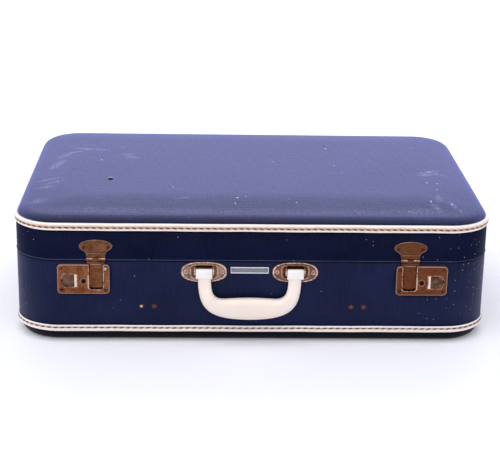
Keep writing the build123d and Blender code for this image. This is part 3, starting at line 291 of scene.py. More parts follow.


# Plated steel gone brown: cloudy tarnish, dark pits, paler where hands rub the parts that stand proud. Polish runs
# between two heights above the wall in mm; facing-up edges get a painted highlight; outline draws a pale line along
# the rolled rim, wear and a painted highlight; cavities get painted shade.
def tarnishedMetal(name, cfg):
    made, add, surface = startMaterial(name, {"Metallic": 1.0, "Roughness": cfg["roughness"]})
    coords = add("TexCoord")
    place = coords.outputs["Object"]
    axes = add("SeparateXYZ", {0: place})
    clouds = add("TexNoise", {"Scale": 130.0, "Detail": 6.0, "Roughness": 0.68, "Vector": place})
    tone = add("MapRange", {0: clouds, 1: 0.33, 2: 0.67})
    colour = over(add, cfg["dark"], cfg["light"], tone)
    if "rightTint" in cfg:
        right = add("MapRange", {0: axes.outputs[0], 1: -0.01, 2: 0.01, 4: 0.75})
        colour = over(add, colour, cfg["rightTint"], right)
    grit = add("TexNoise", {"Scale": 640.0, "Detail": 4.0, "Roughness": 0.7, "Vector": place})
    pits = add("MapRange", {0: grit, 1: 0.5, 2: 0.34, 4: 0.75})
    colour = over(add, colour, cfg["pit"], pits)
    deep = add("Math ABSOLUTE", {0: axes.outputs[1]})
    raised = None
    for band in cfg["polishMm"]:        # no polish at the first height, full at the second, and back by the last two
        at = [(case["halfDepth"] + v) * mm for v in band]
        part = add("MapRange", {0: deep, 1: at[0], 2: at[1]})
        if len(at) > 2:
            past = add("MapRange", {0: deep, 1: at[2], 2: at[3], 3: 1.0, 4: 0.0})
            part = add("Math MULTIPLY", {0: part, 1: past})
        raised = part if raised is None else add("Math MAXIMUM", {0: raised, 1: part})
    broken = add("TexNoise", {"Scale": 330.0, "Detail": 3.0, "Vector": place})
    patchy = add("MapRange", {0: broken, 1: 0.40, 2: 0.58, 3: cfg.get("patchLow", 0.15)})
    worn = add("Math MULTIPLY", {0: raised, 1: patchy})
    if "calmBelowMm" in cfg:        # knuckles: paler only where they face up, a painted highlight, and a little all over above calmBelowMm
        facing = add("SeparateXYZ", {0: coords.outputs["Normal"]})
        up = add("MapRange", {0: facing.outputs[2], 1: 0.62, 2: 0.86})
        above = add("Math GREATER_THAN", {0: axes.outputs[2], 1: cfg["calmBelowMm"] * mm})
        above = add("Math MULTIPLY", {0: above, 1: 0.12})
        chosen = add("Math MAXIMUM", {0: up, 1: above})
        worn = add("Math MULTIPLY", {0: worn, 1: chosen})
    for shape, amount, mirrored in cfg.get("spots", ()):        # places worn more (or less) than the rest; on the lock plate, a line down the recess edge is a painted highlight
        inside = add("MapRange", {0: plateDistance(add, place, shape, mirrored), 1: 0.3 * mm, 2: -0.3 * mm})
        worn = add("Mix", {"data_type": "FLOAT", 0: inside, 2: worn, 3: amount})
    if "ring" in cfg:               # an escutcheon: darker inside, a pale line along its edge
        edge = plateDistance(add, place, cfg["ring"])
        inner = add("MapRange", {0: edge, 1: 0.2 * mm, 2: -0.2 * mm, 4: 0.55})
        colour = over(add, colour, cfg["pit"], inner)
        near = add("Math ABSOLUTE", {0: edge})
        line = add("MapRange", {0: near, 1: 0.75 * mm, 2: 0.3 * mm, 4: 0.75})
        colour = over(add, colour, cfg["rim"], line)
    # A pale line inside the plate's outline: wear and a painted highlight of the rolled edge
    if "outline" in cfg:
        edge = plateDistance(add, place, cfg["outline"])
        rim = add("MapRange", {0: edge, 1: -1.5 * mm, 2: -0.9 * mm, 4: 0.8})
        colour = over(add, colour, cfg["rim"], rim)
    colour = over(add, colour, cfg["worn"], worn)
    for shape in cfg.get("cavities", ()):       # painted shade over the hollows above the strap ends
        hollow = add("MapRange", {0: plateDistance(add, place, shape, False), 1: 0.4 * mm, 2: -0.4 * mm, 4: 0.92})
        colour = over(add, colour, cavityShade, hollow)
    gloss = add("MapRange", {0: worn, 3: cfg["roughness"], 4: cfg["roughness"] * cfg.get("shine", 0.6)})
    setUp(surface, {"Base Color": colour, "Roughness": gloss,
                    "Normal": add("Bump", {"Strength": 0.4, "Distance": 0.0003, "Height": clouds})})
    return made


# Finish with a slow change between two tones and a fine grain in the surface
def plainFinish(name, shader, tone, grain, bumpMm):
    made, add, surface = startMaterial(name, shader)
    place = add("TexCoord").outputs["Object"]
    slow = add("TexNoise", {"Scale": 25.0, "Detail": 3.0, "Vector": place})
    colour = over(add, tone[0], tone[1], slow)
    setUp(surface, {"Base Color": colour})
    fine = add("TexNoise", {"Scale": 1000.0 / grain, "Detail": 3.0, "Vector": place})
    setUp(surface, {"Normal": add("Bump", {"Strength": 0.4, "Distance": bumpMm * mm, "Height": fine})})
    return made


# Piping vinyl: on the map "skin", v is the distance in metres from the seam towards the bead. Old glue and dirt,
# with painted shade in the groove, have gone tan round the stitches, and the bead's crown is painted pale as a
# highlight.
def pipingVinyl(name, stops):
    made, add, surface = startMaterial(name, {"Roughness": 0.36, "Specular IOR Level": 0.5})
    skin = add("UVMap", {"uv_map": "skin"})
    place = add("TexCoord").outputs["Object"]
    axes = add("SeparateXYZ", {0: skin})
    blots = add("TexNoise", {"Scale": 95.0, "Detail": 5.0, "Roughness": 0.65, "Vector": place})
    drift = add("MapRange", {0: blots, 1: 0.3, 2: 0.7, 3: -0.55 * mm, 4: 0.55 * mm})
    across = add("Math ADD", {0: axes.outputs[1], 1: drift})
    low, high = stops[0][0], stops[-1][0]
    t = add("MapRange", {0: across, 1: low * mm, 2: high * mm})
    ramp = add("ValToRGB", {0: t})
    while len(ramp.color_ramp.elements) < len(stops):
        ramp.color_ramp.elements.new(0.5)
    for element, (at, tint) in zip(ramp.color_ramp.elements, stops):
        element.position = (at - low) / (high - low)
        element.color = hexToLinear(tint)
    spots = add("MapRange", {0: blots, 1: 0.62, 2: 0.75, 4: 0.35})
    colour = over(add, ramp, gluedDirt, spots)
    setUp(surface, {"Base Color": colour})
    fine = add("TexNoise", {"Scale": 700.0, "Detail": 3.0, "Vector": place})
    setUp(surface, {"Normal": add("Bump", {"Strength": 0.35, "Distance": 0.0001, "Height": fine})})
    return made


# Woven stuff on the map "skin" in metres: two crossing sine waves give the threads, stripes run along u
def wovenCloth(name, cfg):
    made, add, surface = startMaterial(name, {"Roughness": 0.9, "Sheen Weight": 0.2, "Sheen Roughness": 0.5})
    skin = add("UVMap", {"uv_map": "skin"})
    axes = add("SeparateXYZ", {0: skin})
    waves = []
    for axis in (0, 1):
        turns = add("Math MULTIPLY", {0: axes.outputs[axis], 1: 2 * math.pi / (cfg["threadMm"] * mm)})
        waves.append(add("Math SINE", {0: turns}))
    woven = add("Math MULTIPLY", {0: waves[0], 1: waves[1]})
    slub = add("TexNoise", {"Scale": 180.0, "Detail": 4.0, "Vector": skin})
    height = add("Math MULTIPLY_ADD", {0: woven, 1: 0.5, 2: slub})
    setUp(surface, {"Normal": add("Bump", {"Strength": 0.5, "Distance": 0.0003, "Height": height})})
    stain = add("TexNoise", {"Scale": 7.0, "Detail": 5.0, "Vector": skin})
    colour = over(add, cfg["tones"][0], cfg["tones"][1], stain)
    for pitch, wide, tint in cfg["stripes"]:
        steps = add("Math PINGPONG", {0: axes.outputs[1], 1: pitch / 2 * mm})
        band = add("MapRange", {0: steps, 1: (wide / 2 + 0.2) * mm, 2: (wide / 2 - 0.2) * mm, 4: 0.8})
        colour = over(add, colour, tint, band)
    setUp(surface, {"Base Color": colour})
    return made


# Bright plate between the first two tones, with a satin field of the third inside its border
def borderedPlate(name, shape, tones):
    made, add, surface = startMaterial(name, {"Metallic": 1.0, "Roughness": 0.3})
    place = add("TexCoord").outputs["Object"]
    edge = plateDistance(add, place, shape, mirrored=False)
    field = add("MapRange", {0: edge, 1: -1.0 * mm, 2: -1.4 * mm, 4: 0.9})
    brushed = add("VectorMath MULTIPLY", {0: place, 1: (60, 60, 900)})
    lines = add("TexNoise", {"Scale": 1.0, "Detail": 3.0, "Vector": brushed})
    colour = over(add, over(add, tones[0], tones[1], lines), tones[2], field)
    grain = add("Bump", {"Strength": 0.3, "Distance": 0.0002, "Height": lines})
    setUp(surface, {"Base Color": colour, "Normal": grain})
    return made


nameplate = {"centre": (-4.8, 97.5), "half": (24.0, 4.2), "corner": 0.8, "sheet": 0.9, "border": 1.2, "sunk": 0.35}
lockShape = (211.6, 85.6, 32.5, 19.5, 5.0)
metals = {
    "lockPlate": ("copper brown plate",
            # rim is the colour of the pale lines; along the outline they are wear and a painted highlight
            {"dark": "#6C3B24", "light": "#A16B49", "pit": "#3E1F12", "worn": "#D8B094", "rim": "#A5857A",
            "roughness": 0.5, "shine": 0.9, "polishMm": [(4.15, 4.42)], "rightTint": "#6B3A22",
            "patchLow": 0.0, "outline": lockShape, "ring": (211.4, 83.1, 4.1, 4.1, 4.1),
            # The second spot is a painted highlight: a pale line down the recess edge beside the keyhole
            "spots": [((211.4, 83.1, 4.6, 4.6, 4.6), 0.0, True), ((205.5, 82.0, 0.9, 8.5, 0.5), 0.95, True)]}),
    "fanPlate": ("olive bronze plate",
            {"dark": "#5E3722", "light": "#8B6044", "pit": "#3C210F", "worn": "#F6E8DC",
            "rightTint": "#684027", "roughness": 0.52, "polishMm": [(1.5, 1.9)], "calmBelowMm": 116.0,
            "patchLow": 0.45}),
    # Fan plate rims and hasp ridges: pale pinkish rolled edges, wear and a painted highlight
    "fanRim": ("rolled edge, worn and painted highlight",
            {"dark": "#6B4F48", "light": "#957A72", "pit": "#4A2E20", "worn": "#AF9990", "roughness": 0.5,
            "polishMm": [(1.6, 1.9)]}),
    "tongue": ("brown bronze tongue",
            {"dark": "#613521", "light": "#8F5C3D", "pit": "#3B2013", "worn": "#B98F74",
            "rightTint": "#673823", "roughness": 0.5, "polishMm": [(4.4, 4.9)], "calmBelowMm": 112.0}),
    "handlePlate": ("worn bronze plate",
            {"dark": "#745444", "light": "#BC9982", "pit": "#35211A", "worn": "#DCC3B3",
            "rightTint": "#744532", "roughness": 0.45, "patchLow": 0.2, "shine": 0.85,
            "polishMm": [(1.5, 1.8, 2.0, 2.2), (8.6, 9.2)],
            # cavities: painted shade above each strap end
            "cavities": [(-61.8, 102.6, 10.4, 1.9, 1.0), (52.2, 102.6, 10.4, 1.9, 1.0)]}),
    "plateRivet": ("rubbed plate rivet",
            {"dark": "#7A5A48", "light": "#BFA392", "pit": "#3A2216", "worn": "#DCC8B9", "roughness": 0.4,
            "polishMm": [(1.8, 2.05)], "rightTint": "#A87B66"}),
    "rivet": ("rust brown rivet",
            {"dark": "#3F1E14", "light": "#6E3F2C", "pit": "#241009", "worn": "#D6BBA9", "roughness": 0.5,
            "polishMm": [(9.0, 9.5)], "spots": [((-184.2, 100.2, 2.6, 2.6, 2.6), 0.8, False)]}),
    "strapRivet": ("rusty strap rivet",
            {"dark": "#5A2E24", "light": "#8E5546", "pit": "#32160F", "worn": "#EFD8CC", "roughness": 0.5,
            "shine": 0.9, "polishMm": [(2.0, 2.2)], "spots": [((-140.2, 48.8, 1.3, 1.2, 1.2), 1.0, False)]}),
    "slide": ("slide with bare bar",
            {"dark": "#432D24", "light": "#8E6B58", "pit": "#241610", "worn": "#F6E2CD", "roughness": 0.42,
            "polishMm": [(4.5, 4.9)], "patchLow": 0.85}),
    "core": ("dark lock core",
            {"dark": "#1C120E", "light": "#3A251C", "pit": "#0E0806", "worn": "#8A6552", "roughness": 0.45,
            "polishMm": [(4.6, 5.0)]}),
    "hinge": ("brown hinge metal",
            {"dark": "#6A452E", "light": "#8A6546", "pit": "#4A2F1C", "worn": "#B8977C", "roughness": 0.45,
            "polishMm": [(2.2, 4.6)]}),
}
lidShader = {"Roughness": 0.5, "IOR": 1.33, "Sheen Weight": 0.88, "Sheen Roughness": 0.48, "Sheen Tint": "#9299F8"}
wallShader = {"Roughness": 0.42, "IOR": 1.2, "Sheen Weight": 0.12, "Sheen Roughness": 0.4, "Sheen Tint": "#8C98D8"}
lidWallShader = {**wallShader, "IOR": 1.12, "Sheen Weight": 0.06}
finishes = {
    "lidVinyl": embossedVinyl("navy embossed vinyl, lid", vinyl, ("#05091F", "#0E1438"), lidShader, onLid=True),
    # Lid wall: a pale band along the rolled lower edge, wear and a painted highlight, and painted shade in a dark band
    # under the lid trim
    "lidWallVinyl": embossedVinyl("navy embossed vinyl, lid wall", vinyl, ("#050A20", "#0C1230"),
            lidWallShader, edges=[(109.2, 111.0, vinyl["wornEdgeAndHighlight"], 0.75),
            (146.9, 150.0, vinyl["darkBand"], 0.9)]),
    # Underside: the same navy vinyl in near-black tones, a painted shade under the case
    "underVinylShaded": embossedVinyl("navy embossed vinyl, underside in painted shade", vinyl, ("#030409", "#070911"), wallShader),
    # Dent hole: a near-black lens, painted shade in the hole
    "dent": plainFinish("painted shade in a dent", {"Roughness": 0.95, "Specular IOR Level": 0.1},
            ("#050507", "#15131A"), 0.5, 0.1),
    "dentRim": plainFinish("torn vinyl edge", {"Roughness": 0.5}, ("#8E93B4", "#C9CDE2"), 0.5, 0.1),
    # Base wall: painted shade in a dark band under the lid's rolled edge, and a dark band along the top of the base
    # trim
    "wallVinyl": embossedVinyl("navy embossed vinyl, base wall", vinyl, ("#0B1230", "#161E42"), wallShader,
            edges=[(107.2, 110.0, vinyl["darkBand"], 0.95), (20.0, 25.2, vinyl["darkBand"], 0.7)]),
    # Colour stops across the piping: tan at the groove is dirt and painted shade, pale at the bead's crown a painted
    # highlight
    "lidTrim": pipingVinyl("cream piping vinyl, lid",
            [(-4.2, "#FFFBF5"), (-1.7, "#FAEBDC"), (-0.9, "#DDBFA4"), (0.8, "#CFAF92"), (1.4, "#DDC1A6"),
            (3.0, "#ECD4BC"), (4.6, "#FFF7EE")]),
    "baseTrim": pipingVinyl("cream piping vinyl, base",
            [(-3.4, "#FFFCF8"), (-1.2, "#FDF3EA"), (-0.75, "#DBC3B2"), (0.6, "#D2B8A6"), (1.1, "#F0DED0"),
            (2.2, "#FFF1E6"), (4.2, "#FFF5EC")]),
    "trim": plainFinish("cream vinyl", {"Roughness": 0.36}, ("#EBD9C6", "#F3E6D8"), 1.2, 0.05),
    "thread": plainFinish("waxed brown thread", {"Roughness": 0.6}, ("#47301F", "#6E4F38"), 0.5, 0.12),
    "lining": wovenCloth("striped cotton lining",
            {"threadMm": 1.6, "tones": ("#B5A88F", "#C9BEA8"),
            "stripes": [(24.0, 3.0, "#6F7791"), (24.0, 0.8, "#D9D2C2")]}),
    "board": plainFinish("papered fibreboard", {"Roughness": 0.8}, ("#A3957C", "#B4A78F"), 0.9, 0.1),
    "webbing": wovenCloth("cotton webbing",
            {"threadMm": 1.5, "tones": ("#4D473F", "#5F584E"), "stripes": [(25.0, 2.0, "#7B7365")]}),
    "ivory": plainFinish("moulded ivory plastic",
            {"Roughness": 0.3, "Specular IOR Level": 0.5, "Coat Weight": 0.15}, ("#FBE8D6", "#FFF1E3"), 2.0,
            0.02),
    "rust": plainFinish("rust stain", {"Roughness": 0.8}, ("#2C1512", "#54302A"), 0.4, 0.1),
    "strapEnd": plainFinish("white strap end", {"Roughness": 0.35, "Specular IOR Level": 0.5},
            ("#FBF2E8", "#FFFCF7"), 1.2, 0.04),
    "steel": plainFinish("dull zinc plate", {"Metallic": 1.0, "Roughness": 0.42}, ("#8E8C88", "#A5A29C"), 0.7,
            0.02),
    "nameplate": borderedPlate("bordered nameplate", (*nameplate["centre"], *nameplate["half"], 2.2),
            ("#B4B5B0", "#E4E5DF", "#767A80")),
    **{key: tarnishedMetal(*both) for key, both in metals.items()},
}
slotFinish = {"navy_vinyl": "wallVinyl", "board": "board", "cream_trim": "trim", "brown_thread": "thread",
              "lining_cloth": "lining", "tarnished_brass": "lockPlate", "aged_bronze": "handlePlate", "steel": "steel",
              "ivory_plastic": "ivory", "webbing": "webbing", "plate_metal": "nameplate"}
ownFinish = {"latch_lid_rivets": "rivet", "lock_rivets": "rivet", "strap_rivets": "strapRivet",
             "handle_pins": "handlePlate", "hinge_base_leaves": "hinge", "hinge_lid_leaves": "hinge",
             "hinge_base_rivets": "rivet", "hinge_lid_rivets": "rivet"}
pairFinish = {"latch_lid_plate": "fanPlate", "hasp": "tongue", "hasp_pin": "tongue", "latch_slide": "slide",
              "lock_core": "core"}
ownFinish.update({f"{pair}_{side}": key for pair, key in pairFinish.items() for side in ("left", "right")})
for nodeName, part in nodes.items():
    old = part.material_slots[0].material.name.split(".")[0]
    part.material_slots[0].material = finishes[ownFinish.get(nodeName, slotFinish[old])]
print("materials made:", len(finishes))


# Stations round the case, seen from above and counter-clockwise from the right end of the front: core points,
# angles of the outward normal, and the length walked along the wall's face. A corner keeps its core point while the
# normal turns by 90 degrees; a straight run keeps the normal while the core point walks. frontCuts are extra
# stations on the front, in mm along X.
def caseOutline(runStep, cornerSteps, frontCuts=()):
    a, b = case["halfWidth"] - case["corner"], case["halfDepth"] - case["corner"]
    corners = np.array([(a, -b), (a, b), (-a, b), (-a, -b)])
    cores, angles = [], []
    for number in range(4):
        here, there = corners[number], corners[(number + 1) % 4]
        turned = (number - 1) * 90 + np.linspace(0, 90, cornerSteps + 1)
        length = np.hypot(*(there - here))
        t = np.linspace(0, 1, max(1, round(length / runStep)) + 1)[1:-1]
        if number == 3:
            t = np.union1d(t, (np.array(frontCuts) + a) / (2 * a)) if len(frontCuts) else t
        cores += [np.tile(here, (cornerSteps + 1, 1)), here + (there - here) * t[:, None]]
        angles += [turned, np.full(len(t), turned[-1])]
    cores, angles = np.concatenate(cores), np.radians(np.concatenate(angles))
    face = cores + case["corner"] * np.stack([np.cos(angles), np.sin(angles)], axis=1)
    return cores, angles, walkedAlong(np.vstack([face, face[:1]]))


# Object at the origin from vertices in mm, riding on a CAD body, with its finish, and in place of a CAD node where one
# is named; the slot it is given is not used. faceSets are arrays of faces with the same number of corners each; uvSets
# hold one pair in metres per corner, in the same order.
def meshObject(name, body, verts, faceSets, material, slot, replaced=None, uvSets=None, smooth=True):
    mesh = bpy.data.meshes.new(name)
    mesh.from_pydata((np.asarray(verts) * mm).tolist(), [], [face for part in faceSets for face in part.tolist()])
    if uvSets is not None:
        corners = np.concatenate([np.asarray(part).reshape(-1, 2) for part in uvSets])
        mesh.uv_layers.new(name="skin").data.foreach_set("uv", corners.astype(np.float32).ravel())
    mesh.polygons.foreach_set("use_smooth", np.full(len(mesh.polygons), smooth))
    mesh.materials.append(finishes[material])
    mesh.update()
    made = addObject(name, mesh)
    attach(made, body)
    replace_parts(made, replaced) if replaced else made
    return made


# Faces of a closed part, turned over where its volume, the sum of a . (b x c) / 6 over fans of triangles, is negative
def outward(verts, faceSets):
    total = 0.0
    for part in faceSets:
        for k in range(1, part.shape[1] - 1):
            a, b, c = verts[part[:, 0]], verts[part[:, k]], verts[part[:, k + 1]]
            total += np.einsum("ij,ij->", a, np.cross(b, c))
    return faceSets if total > 0 else [part[:, ::-1] for part in faceSets]


# Several closed parts as one: their vertices in a row, their faces counted on
def joined(parts):
    starts = np.cumsum([0] + [len(verts) for verts, _ in parts])
    return (np.concatenate([verts for verts, _ in parts]),
            [start + one for start, (verts, sets) in zip(starts, parts) for one in outward(verts, sets)])


# Quads of an open grid of rows by points round a closed section, with both ends capped
def tubeFaces(rows, points):
    i, j = np.arange(rows - 1)[:, None] * points, np.arange(points)[None, :]
    k = (j + 1) % points
    return [np.stack([i + j, i + k, i + points + k, i + points + j], axis=-1).reshape(-1, 4),
            np.arange(points)[None, ::-1], (rows - 1) * points + np.arange(points)[None]]


# Closed part from such a grid
def tube(rows):
    grid = np.asarray(rows)
    return grid.reshape(-1, 3), tubeFaces(*grid.shape[:2])


# Points over the front wall, or with face 1 the back wall, from x, height above the wall and z broadcast together
def onWall(x, proud, z, face=-1):
    return np.stack(np.broadcast_arrays(x, face * (case["halfDepth"] + proud), z), axis=-1)


# Angles of points evenly round a circle
def fullTurn(count):
    return np.linspace(0, 2 * np.pi, count, endpoint=False)


# |v| to the power, with v's sign, as in a superellipse
def signedPower(v, power):
    return np.sign(v) * np.abs(v) ** power


# 0 up to start, 1 from end, and t * t * (3 - 2 t) in between
def smoothStep(v, start, end):
    t = np.clip((v - start) / (end - start), 0, 1)
    return t * t * (3 - 2 * t)


# Length walked along a line, at each of its points
def walkedAlong(line):
    return np.concatenate([[0], np.cumsum(np.hypot(*np.diff(line, axis=0).T))])


# Unit normals of a flat line, to the left of its direction
def lineNormals(line):
    step = np.gradient(line, axis=0)
    step /= np.linalg.norm(step, axis=1)[:, None]
    return np.stack([-step[:, 1], step[:, 0]], axis=1)


# A part made on the base, as it is or for the lid turned over, where height becomes case height - height
def forHalf(half, verts, faceSets):
    if half == "base":
        return verts, faceSets
    return verts * (1, 1, -1) + (0, 0, case["height"]), [part[:, ::-1] for part in faceSets]


bothSides = ((-1, "left"), (1, "right"))


# Vertices of a profile carried round the case: core + (corner + proud) * normal, at height high. proud and high are
# arrays of profile points, or of stations by profile points.
def roundCase(outline, proud, high):
    cores, angles, _ = outline
    out = case["corner"] + np.broadcast_to(proud, (len(cores), np.shape(proud)[-1]))
    x = cores[:, :1] + out * np.cos(angles)[:, None]
    y = cores[:, 1:] + out * np.sin(angles)[:, None]
    return np.stack([x, y, np.broadcast_to(high, x.shape)], axis=2)


# Quads of a grid of stations by points. Stations always close into a ring; the profile closes where asked.
def loopFaces(stations, points, closedProfile):
    i = np.arange(stations)[:, None]
    j = np.arange(points if closedProfile else points - 1)[None, :]
    nextI, nextJ = (i + 1) % stations, (j + 1) % points
    i, nextI = i * points, nextI * points
    return np.stack([i + j, nextI + j, nextI + nextJ, i + nextJ], axis=-1).reshape(-1, 4)


# Map of each face's corners: u is the length walked round the case, v the profile point's own value, both in metres.
# A face that crosses the start takes the whole length there.
def skinMap(faces, outline, rowValues):
    stations, points = len(outline[0]), len(rowValues)
    station, row = faces // points, faces % points
    wraps = (station.max(axis=1) - station.min(axis=1) > stations / 2)[:, None]
    station = np.where(wraps & (station == 0), stations, station)
    return np.stack([outline[2][station], np.asarray(rowValues)[row]], axis=-1) * mm


# Points (proud, high) on an arc, by angles in degrees: centre + radius * (cos, sin)
def arc(centre, radius, start, end, steps):
    t = np.radians(np.linspace(start, end, steps + 1))
    return np.stack([centre[0] + radius * np.cos(t), centre[1] + radius * np.sin(t)], axis=1)


walls = {"edgeRound": 1.2, "edgeSteps": 4, "runStep": 40.0, "cornerSteps": 28, "beadHigh": 1.9, "beadProud": 0.55,
         "topInset": 0.5, "pocketX": (188.0, 243.0), "pocketZ": (74.5, 97.0)}


# Side walls as closed bands. The base wall leans in a little under the lid's edge and keeps the two lock pockets of
# the CAD wall, as openings lined by the board's own edge. The lid wall ends in a rolled edge: its profile swells by
# beadProud * sin ** 0.7 over the lowest beadHigh.
def buildWalls(cfg):
    r, board = cfg["edgeRound"], case["board"]
    lowZ, highZ = case["wallEnd"], case["baseHigh"]
    pocketLow, pocketHigh = cfg["pocketZ"]
    profile = np.concatenate([
        [(-board, pocketHigh), (-board, pocketLow), (-board, lowZ), (0, lowZ), (0, pocketLow), (0, pocketHigh),
         (0, 105.5)],
        arc((-r - cfg["topInset"], highZ - r), r, 0, 90, cfg["edgeSteps"]),
        arc((-board + 0.6, highZ - 0.6), 0.6, 90, 180, 3)])
    cuts = sorted(side * x for side in (-1, 1) for x in cfg["pocketX"])
    outline = caseOutline(cfg["runStep"], cfg["cornerSteps"], cuts)
    verts = roundCase(outline, profile[:, 0], profile[:, 1])
    n, m = verts.shape[:2]
    faces = loopFaces(n, m, True)
    # stations of the front between the two sides of each pocket
    onFront = np.isclose(outline[1], math.radians(270)) | np.isclose(outline[1], math.radians(-90))
    x = np.where(onFront, outline[0][:, 0], 1e6)
    slack = 0.01
    inside = lambda v: sum((x[v] >= a - slack) & (x[v] <= b + slack) for a, b in (cuts[:2], cuts[2:])) > 0
    first, last, row = faces[:, 0] // m, faces[:, 1] // m, faces[:, 0] % m
    opened = inside(first) & inside(last) & np.isin(row, (0, 4))
    ring = np.flatnonzero(inside(np.arange(n)) & inside((np.arange(n) + 1) % n))
    after = (ring + 1) % n
    starts = ring[~np.isin(ring, after)]
    ends = after[~np.isin(after, ring)]
    allFaces = np.concatenate([
        faces[~opened],
        np.stack([ring * m + 1, ring * m + 4, after * m + 4, after * m + 1], axis=1),
        np.stack([ring * m + 0, after * m + 0, after * m + 5, ring * m + 5], axis=1),
        np.stack([starts * m + 0, starts * m + 5, starts * m + 4, starts * m + 1], axis=1),
        np.stack([ends * m + 1, ends * m + 4, ends * m + 5, ends * m + 0], axis=1)])
    meshObject("baseWallSkin", "base", verts.reshape(-1, 3), [allFaces], "wallVinyl", "navy_vinyl", "base_wall",
               [skinMap(allFaces, outline, profile[:, 1])])
    lidLow, lidEnd = case["lidLow"], case["height"] - lowZ
    swell = np.linspace(0, np.pi, 9)[1:-1]
    rolled = np.stack([cfg["beadProud"] * np.sin(swell) ** 0.7, lidLow + cfg["beadHigh"] * (swell / np.pi)], axis=1)
    profile = np.concatenate([[(0, lidEnd), (-board, lidEnd)], arc((-board + 0.8, lidLow + 0.8), 0.8, 180, 270, 3),
                              [(-0.3, lidLow)], rolled, [(0, lidLow + cfg["beadHigh"] + 0.25)]])
    outline = caseOutline(cfg["runStep"], cfg["cornerSteps"])
    verts = roundCase(outline, profile[:, 0], profile[:, 1])
    faces = loopFaces(*verts.shape[:2], True)
    meshObject("lidWallSkin", "lid", verts.reshape(-1, 3), [faces], "lidWallVinyl", "navy_vinyl", "lid_wall",
               [skinMap(faces, outline, profile[:, 1])])


# Shell of even thickness with a rounded rim, as one closed surface. Outside: up the skirt, round the rim on a
# quarter circle, then the rim's inner line shrunk by (1 - t) to the middle; inside: the same, thinner by the sheet.
# The flat part waves by a fraction of a millimetre, as pressed board does. The map is the plan with the rim rolled
# out flat: core + (inset line + length of arc) * normal.
def rimShell(cfg, inset, sheet, floorZ, rim, skirtZ, crowned):
    outer = np.concatenate([[(-inset, skirtZ)], arc((-inset - rim, floorZ + rim), rim, 0, -90, cfg["rimSteps"])])
    inner = np.concatenate([[(-inset - sheet, skirtZ)],
                            arc((-inset - rim, floorZ + rim), rim - sheet, 0, -90, cfg["rimSteps"])])
    outline = caseOutline(cfg["runStep"], cfg["cornerSteps"])
    shrink = (1 - np.linspace(0, 1, cfg["rows"] + 1)[1:-1])[None, :, None]
    rolledOut = -inset - rim + np.concatenate([[rim * np.pi / 2 + skirtZ - floorZ - rim],
                                               rim * np.pi / 2 * (1 - np.linspace(0, 1, cfg["rimSteps"] + 1))])
    shells, plans, middles = [], [], []
    for half in (outer, inner):
        skirt = roundCase(outline, half[:, 0], half[:, 1])
        plan = roundCase(outline, rolledOut, half[:, 1])[..., :2]
        rows = np.repeat(skirt[:, -1:], shrink.shape[1], axis=1)
        rows[..., :2] *= shrink
        shells.append(np.concatenate([skirt, rows], axis=1))
        plans.append(np.concatenate([plan, rows[..., :2]], axis=1))
        middles.append((0.0, 0.0, half[-1, 1]))
    # inner middle ... inner skirt, outer skirt ... outer middle
    grid = np.concatenate([shells[1][:, ::-1], shells[0]], axis=1)
    plan = np.concatenate([plans[1][:, ::-1], plans[0]], axis=1).reshape(-1, 2)
    n, m = grid.shape[:2]
    verts = np.concatenate([grid.reshape(-1, 3), middles])
    plan = np.concatenate([plan, [(0, 0), (0, 0)]]) * mm
    x, y = verts[:, 0], verts[:, 1]
    depth = np.clip((np.minimum(case["halfWidth"] - np.abs(x), case["halfDepth"] - np.abs(y)) - 20) / 60, 0, 1)
    wave = np.sin(x / 61 + 1.3) * np.sin(y / 47 + 0.4) + 0.6 * np.sin(x / 29 - y / 37)
    verts[:, 2] += depth * cfg["wave"] * (1 + wave)
    past = np.abs(verts[:, :2]) - (case["halfWidth"] - case["corner"], case["halfDepth"] - case["corner"])
    inside = case["corner"] - np.linalg.norm(np.maximum(past, 0), axis=1) - np.minimum(past.max(axis=1), 0)
    low = np.clip(1 - (verts[:, 2] - floorZ) / rim, 0, 1)
    near = np.clip((-y - panels["frontFrom"]) / panels["frontReach"], 0, 1)
    drop = panels["crown"] + (panels["crownFront"] - panels["crown"]) * near * near * (3 - 2 * near)
    wide = panels["crownWide"] + (panels["crownFrontWide"] - panels["crownWide"]) * near * near
    verts[:, 2] += crowned * drop * np.clip(1 - inside / wide, 0, 1) ** 2 * low
    i, after = np.arange(n), (np.arange(n) + 1) % n
    fans = np.concatenate([np.stack([after * m, i * m, np.full(n, n * m + 1)], axis=1),
                           np.stack([i * m + m - 1, after * m + m - 1, np.full(n, n * m)], axis=1)])
    return verts, [loopFaces(n, m, False), fans], plan


# A rim shell as an object. Its faces are wound for the lid.
def buildShell(name, half, node, material, slot, shell):
    verts, faceSets, plan = shell
    verts, faceSets = forHalf(half, verts, [part[:, ::-1] for part in faceSets])
    return meshObject(name, half, verts, faceSets, material, slot, node, [plan[part] for part in faceSets])


# The crown falls towards the lid's edges, by more and over more of the lid at the front
panels = {"runStep": 10.0, "cornerSteps": 24, "rimSteps": 12, "rows": 26, "wave": 0.18, "crown": 5.0,
          "crownFront": 8.0, "crownWide": 60.0, "crownFrontWide": 185.0, "frontFrom": 60, "frontReach": 120}
buildWalls(walls)
for half, vinylName in (("lid", "lidVinyl"), ("base", "underVinylShaded")):
    buildShell(half + "PanelSkin", half, half + "_panel", vinylName, "navy_vinyl",
               rimShell(panels, case["board"], case["sheet"], 0.0, case["rim"], case["flange"], half == "lid"))
print("walls and panels built")

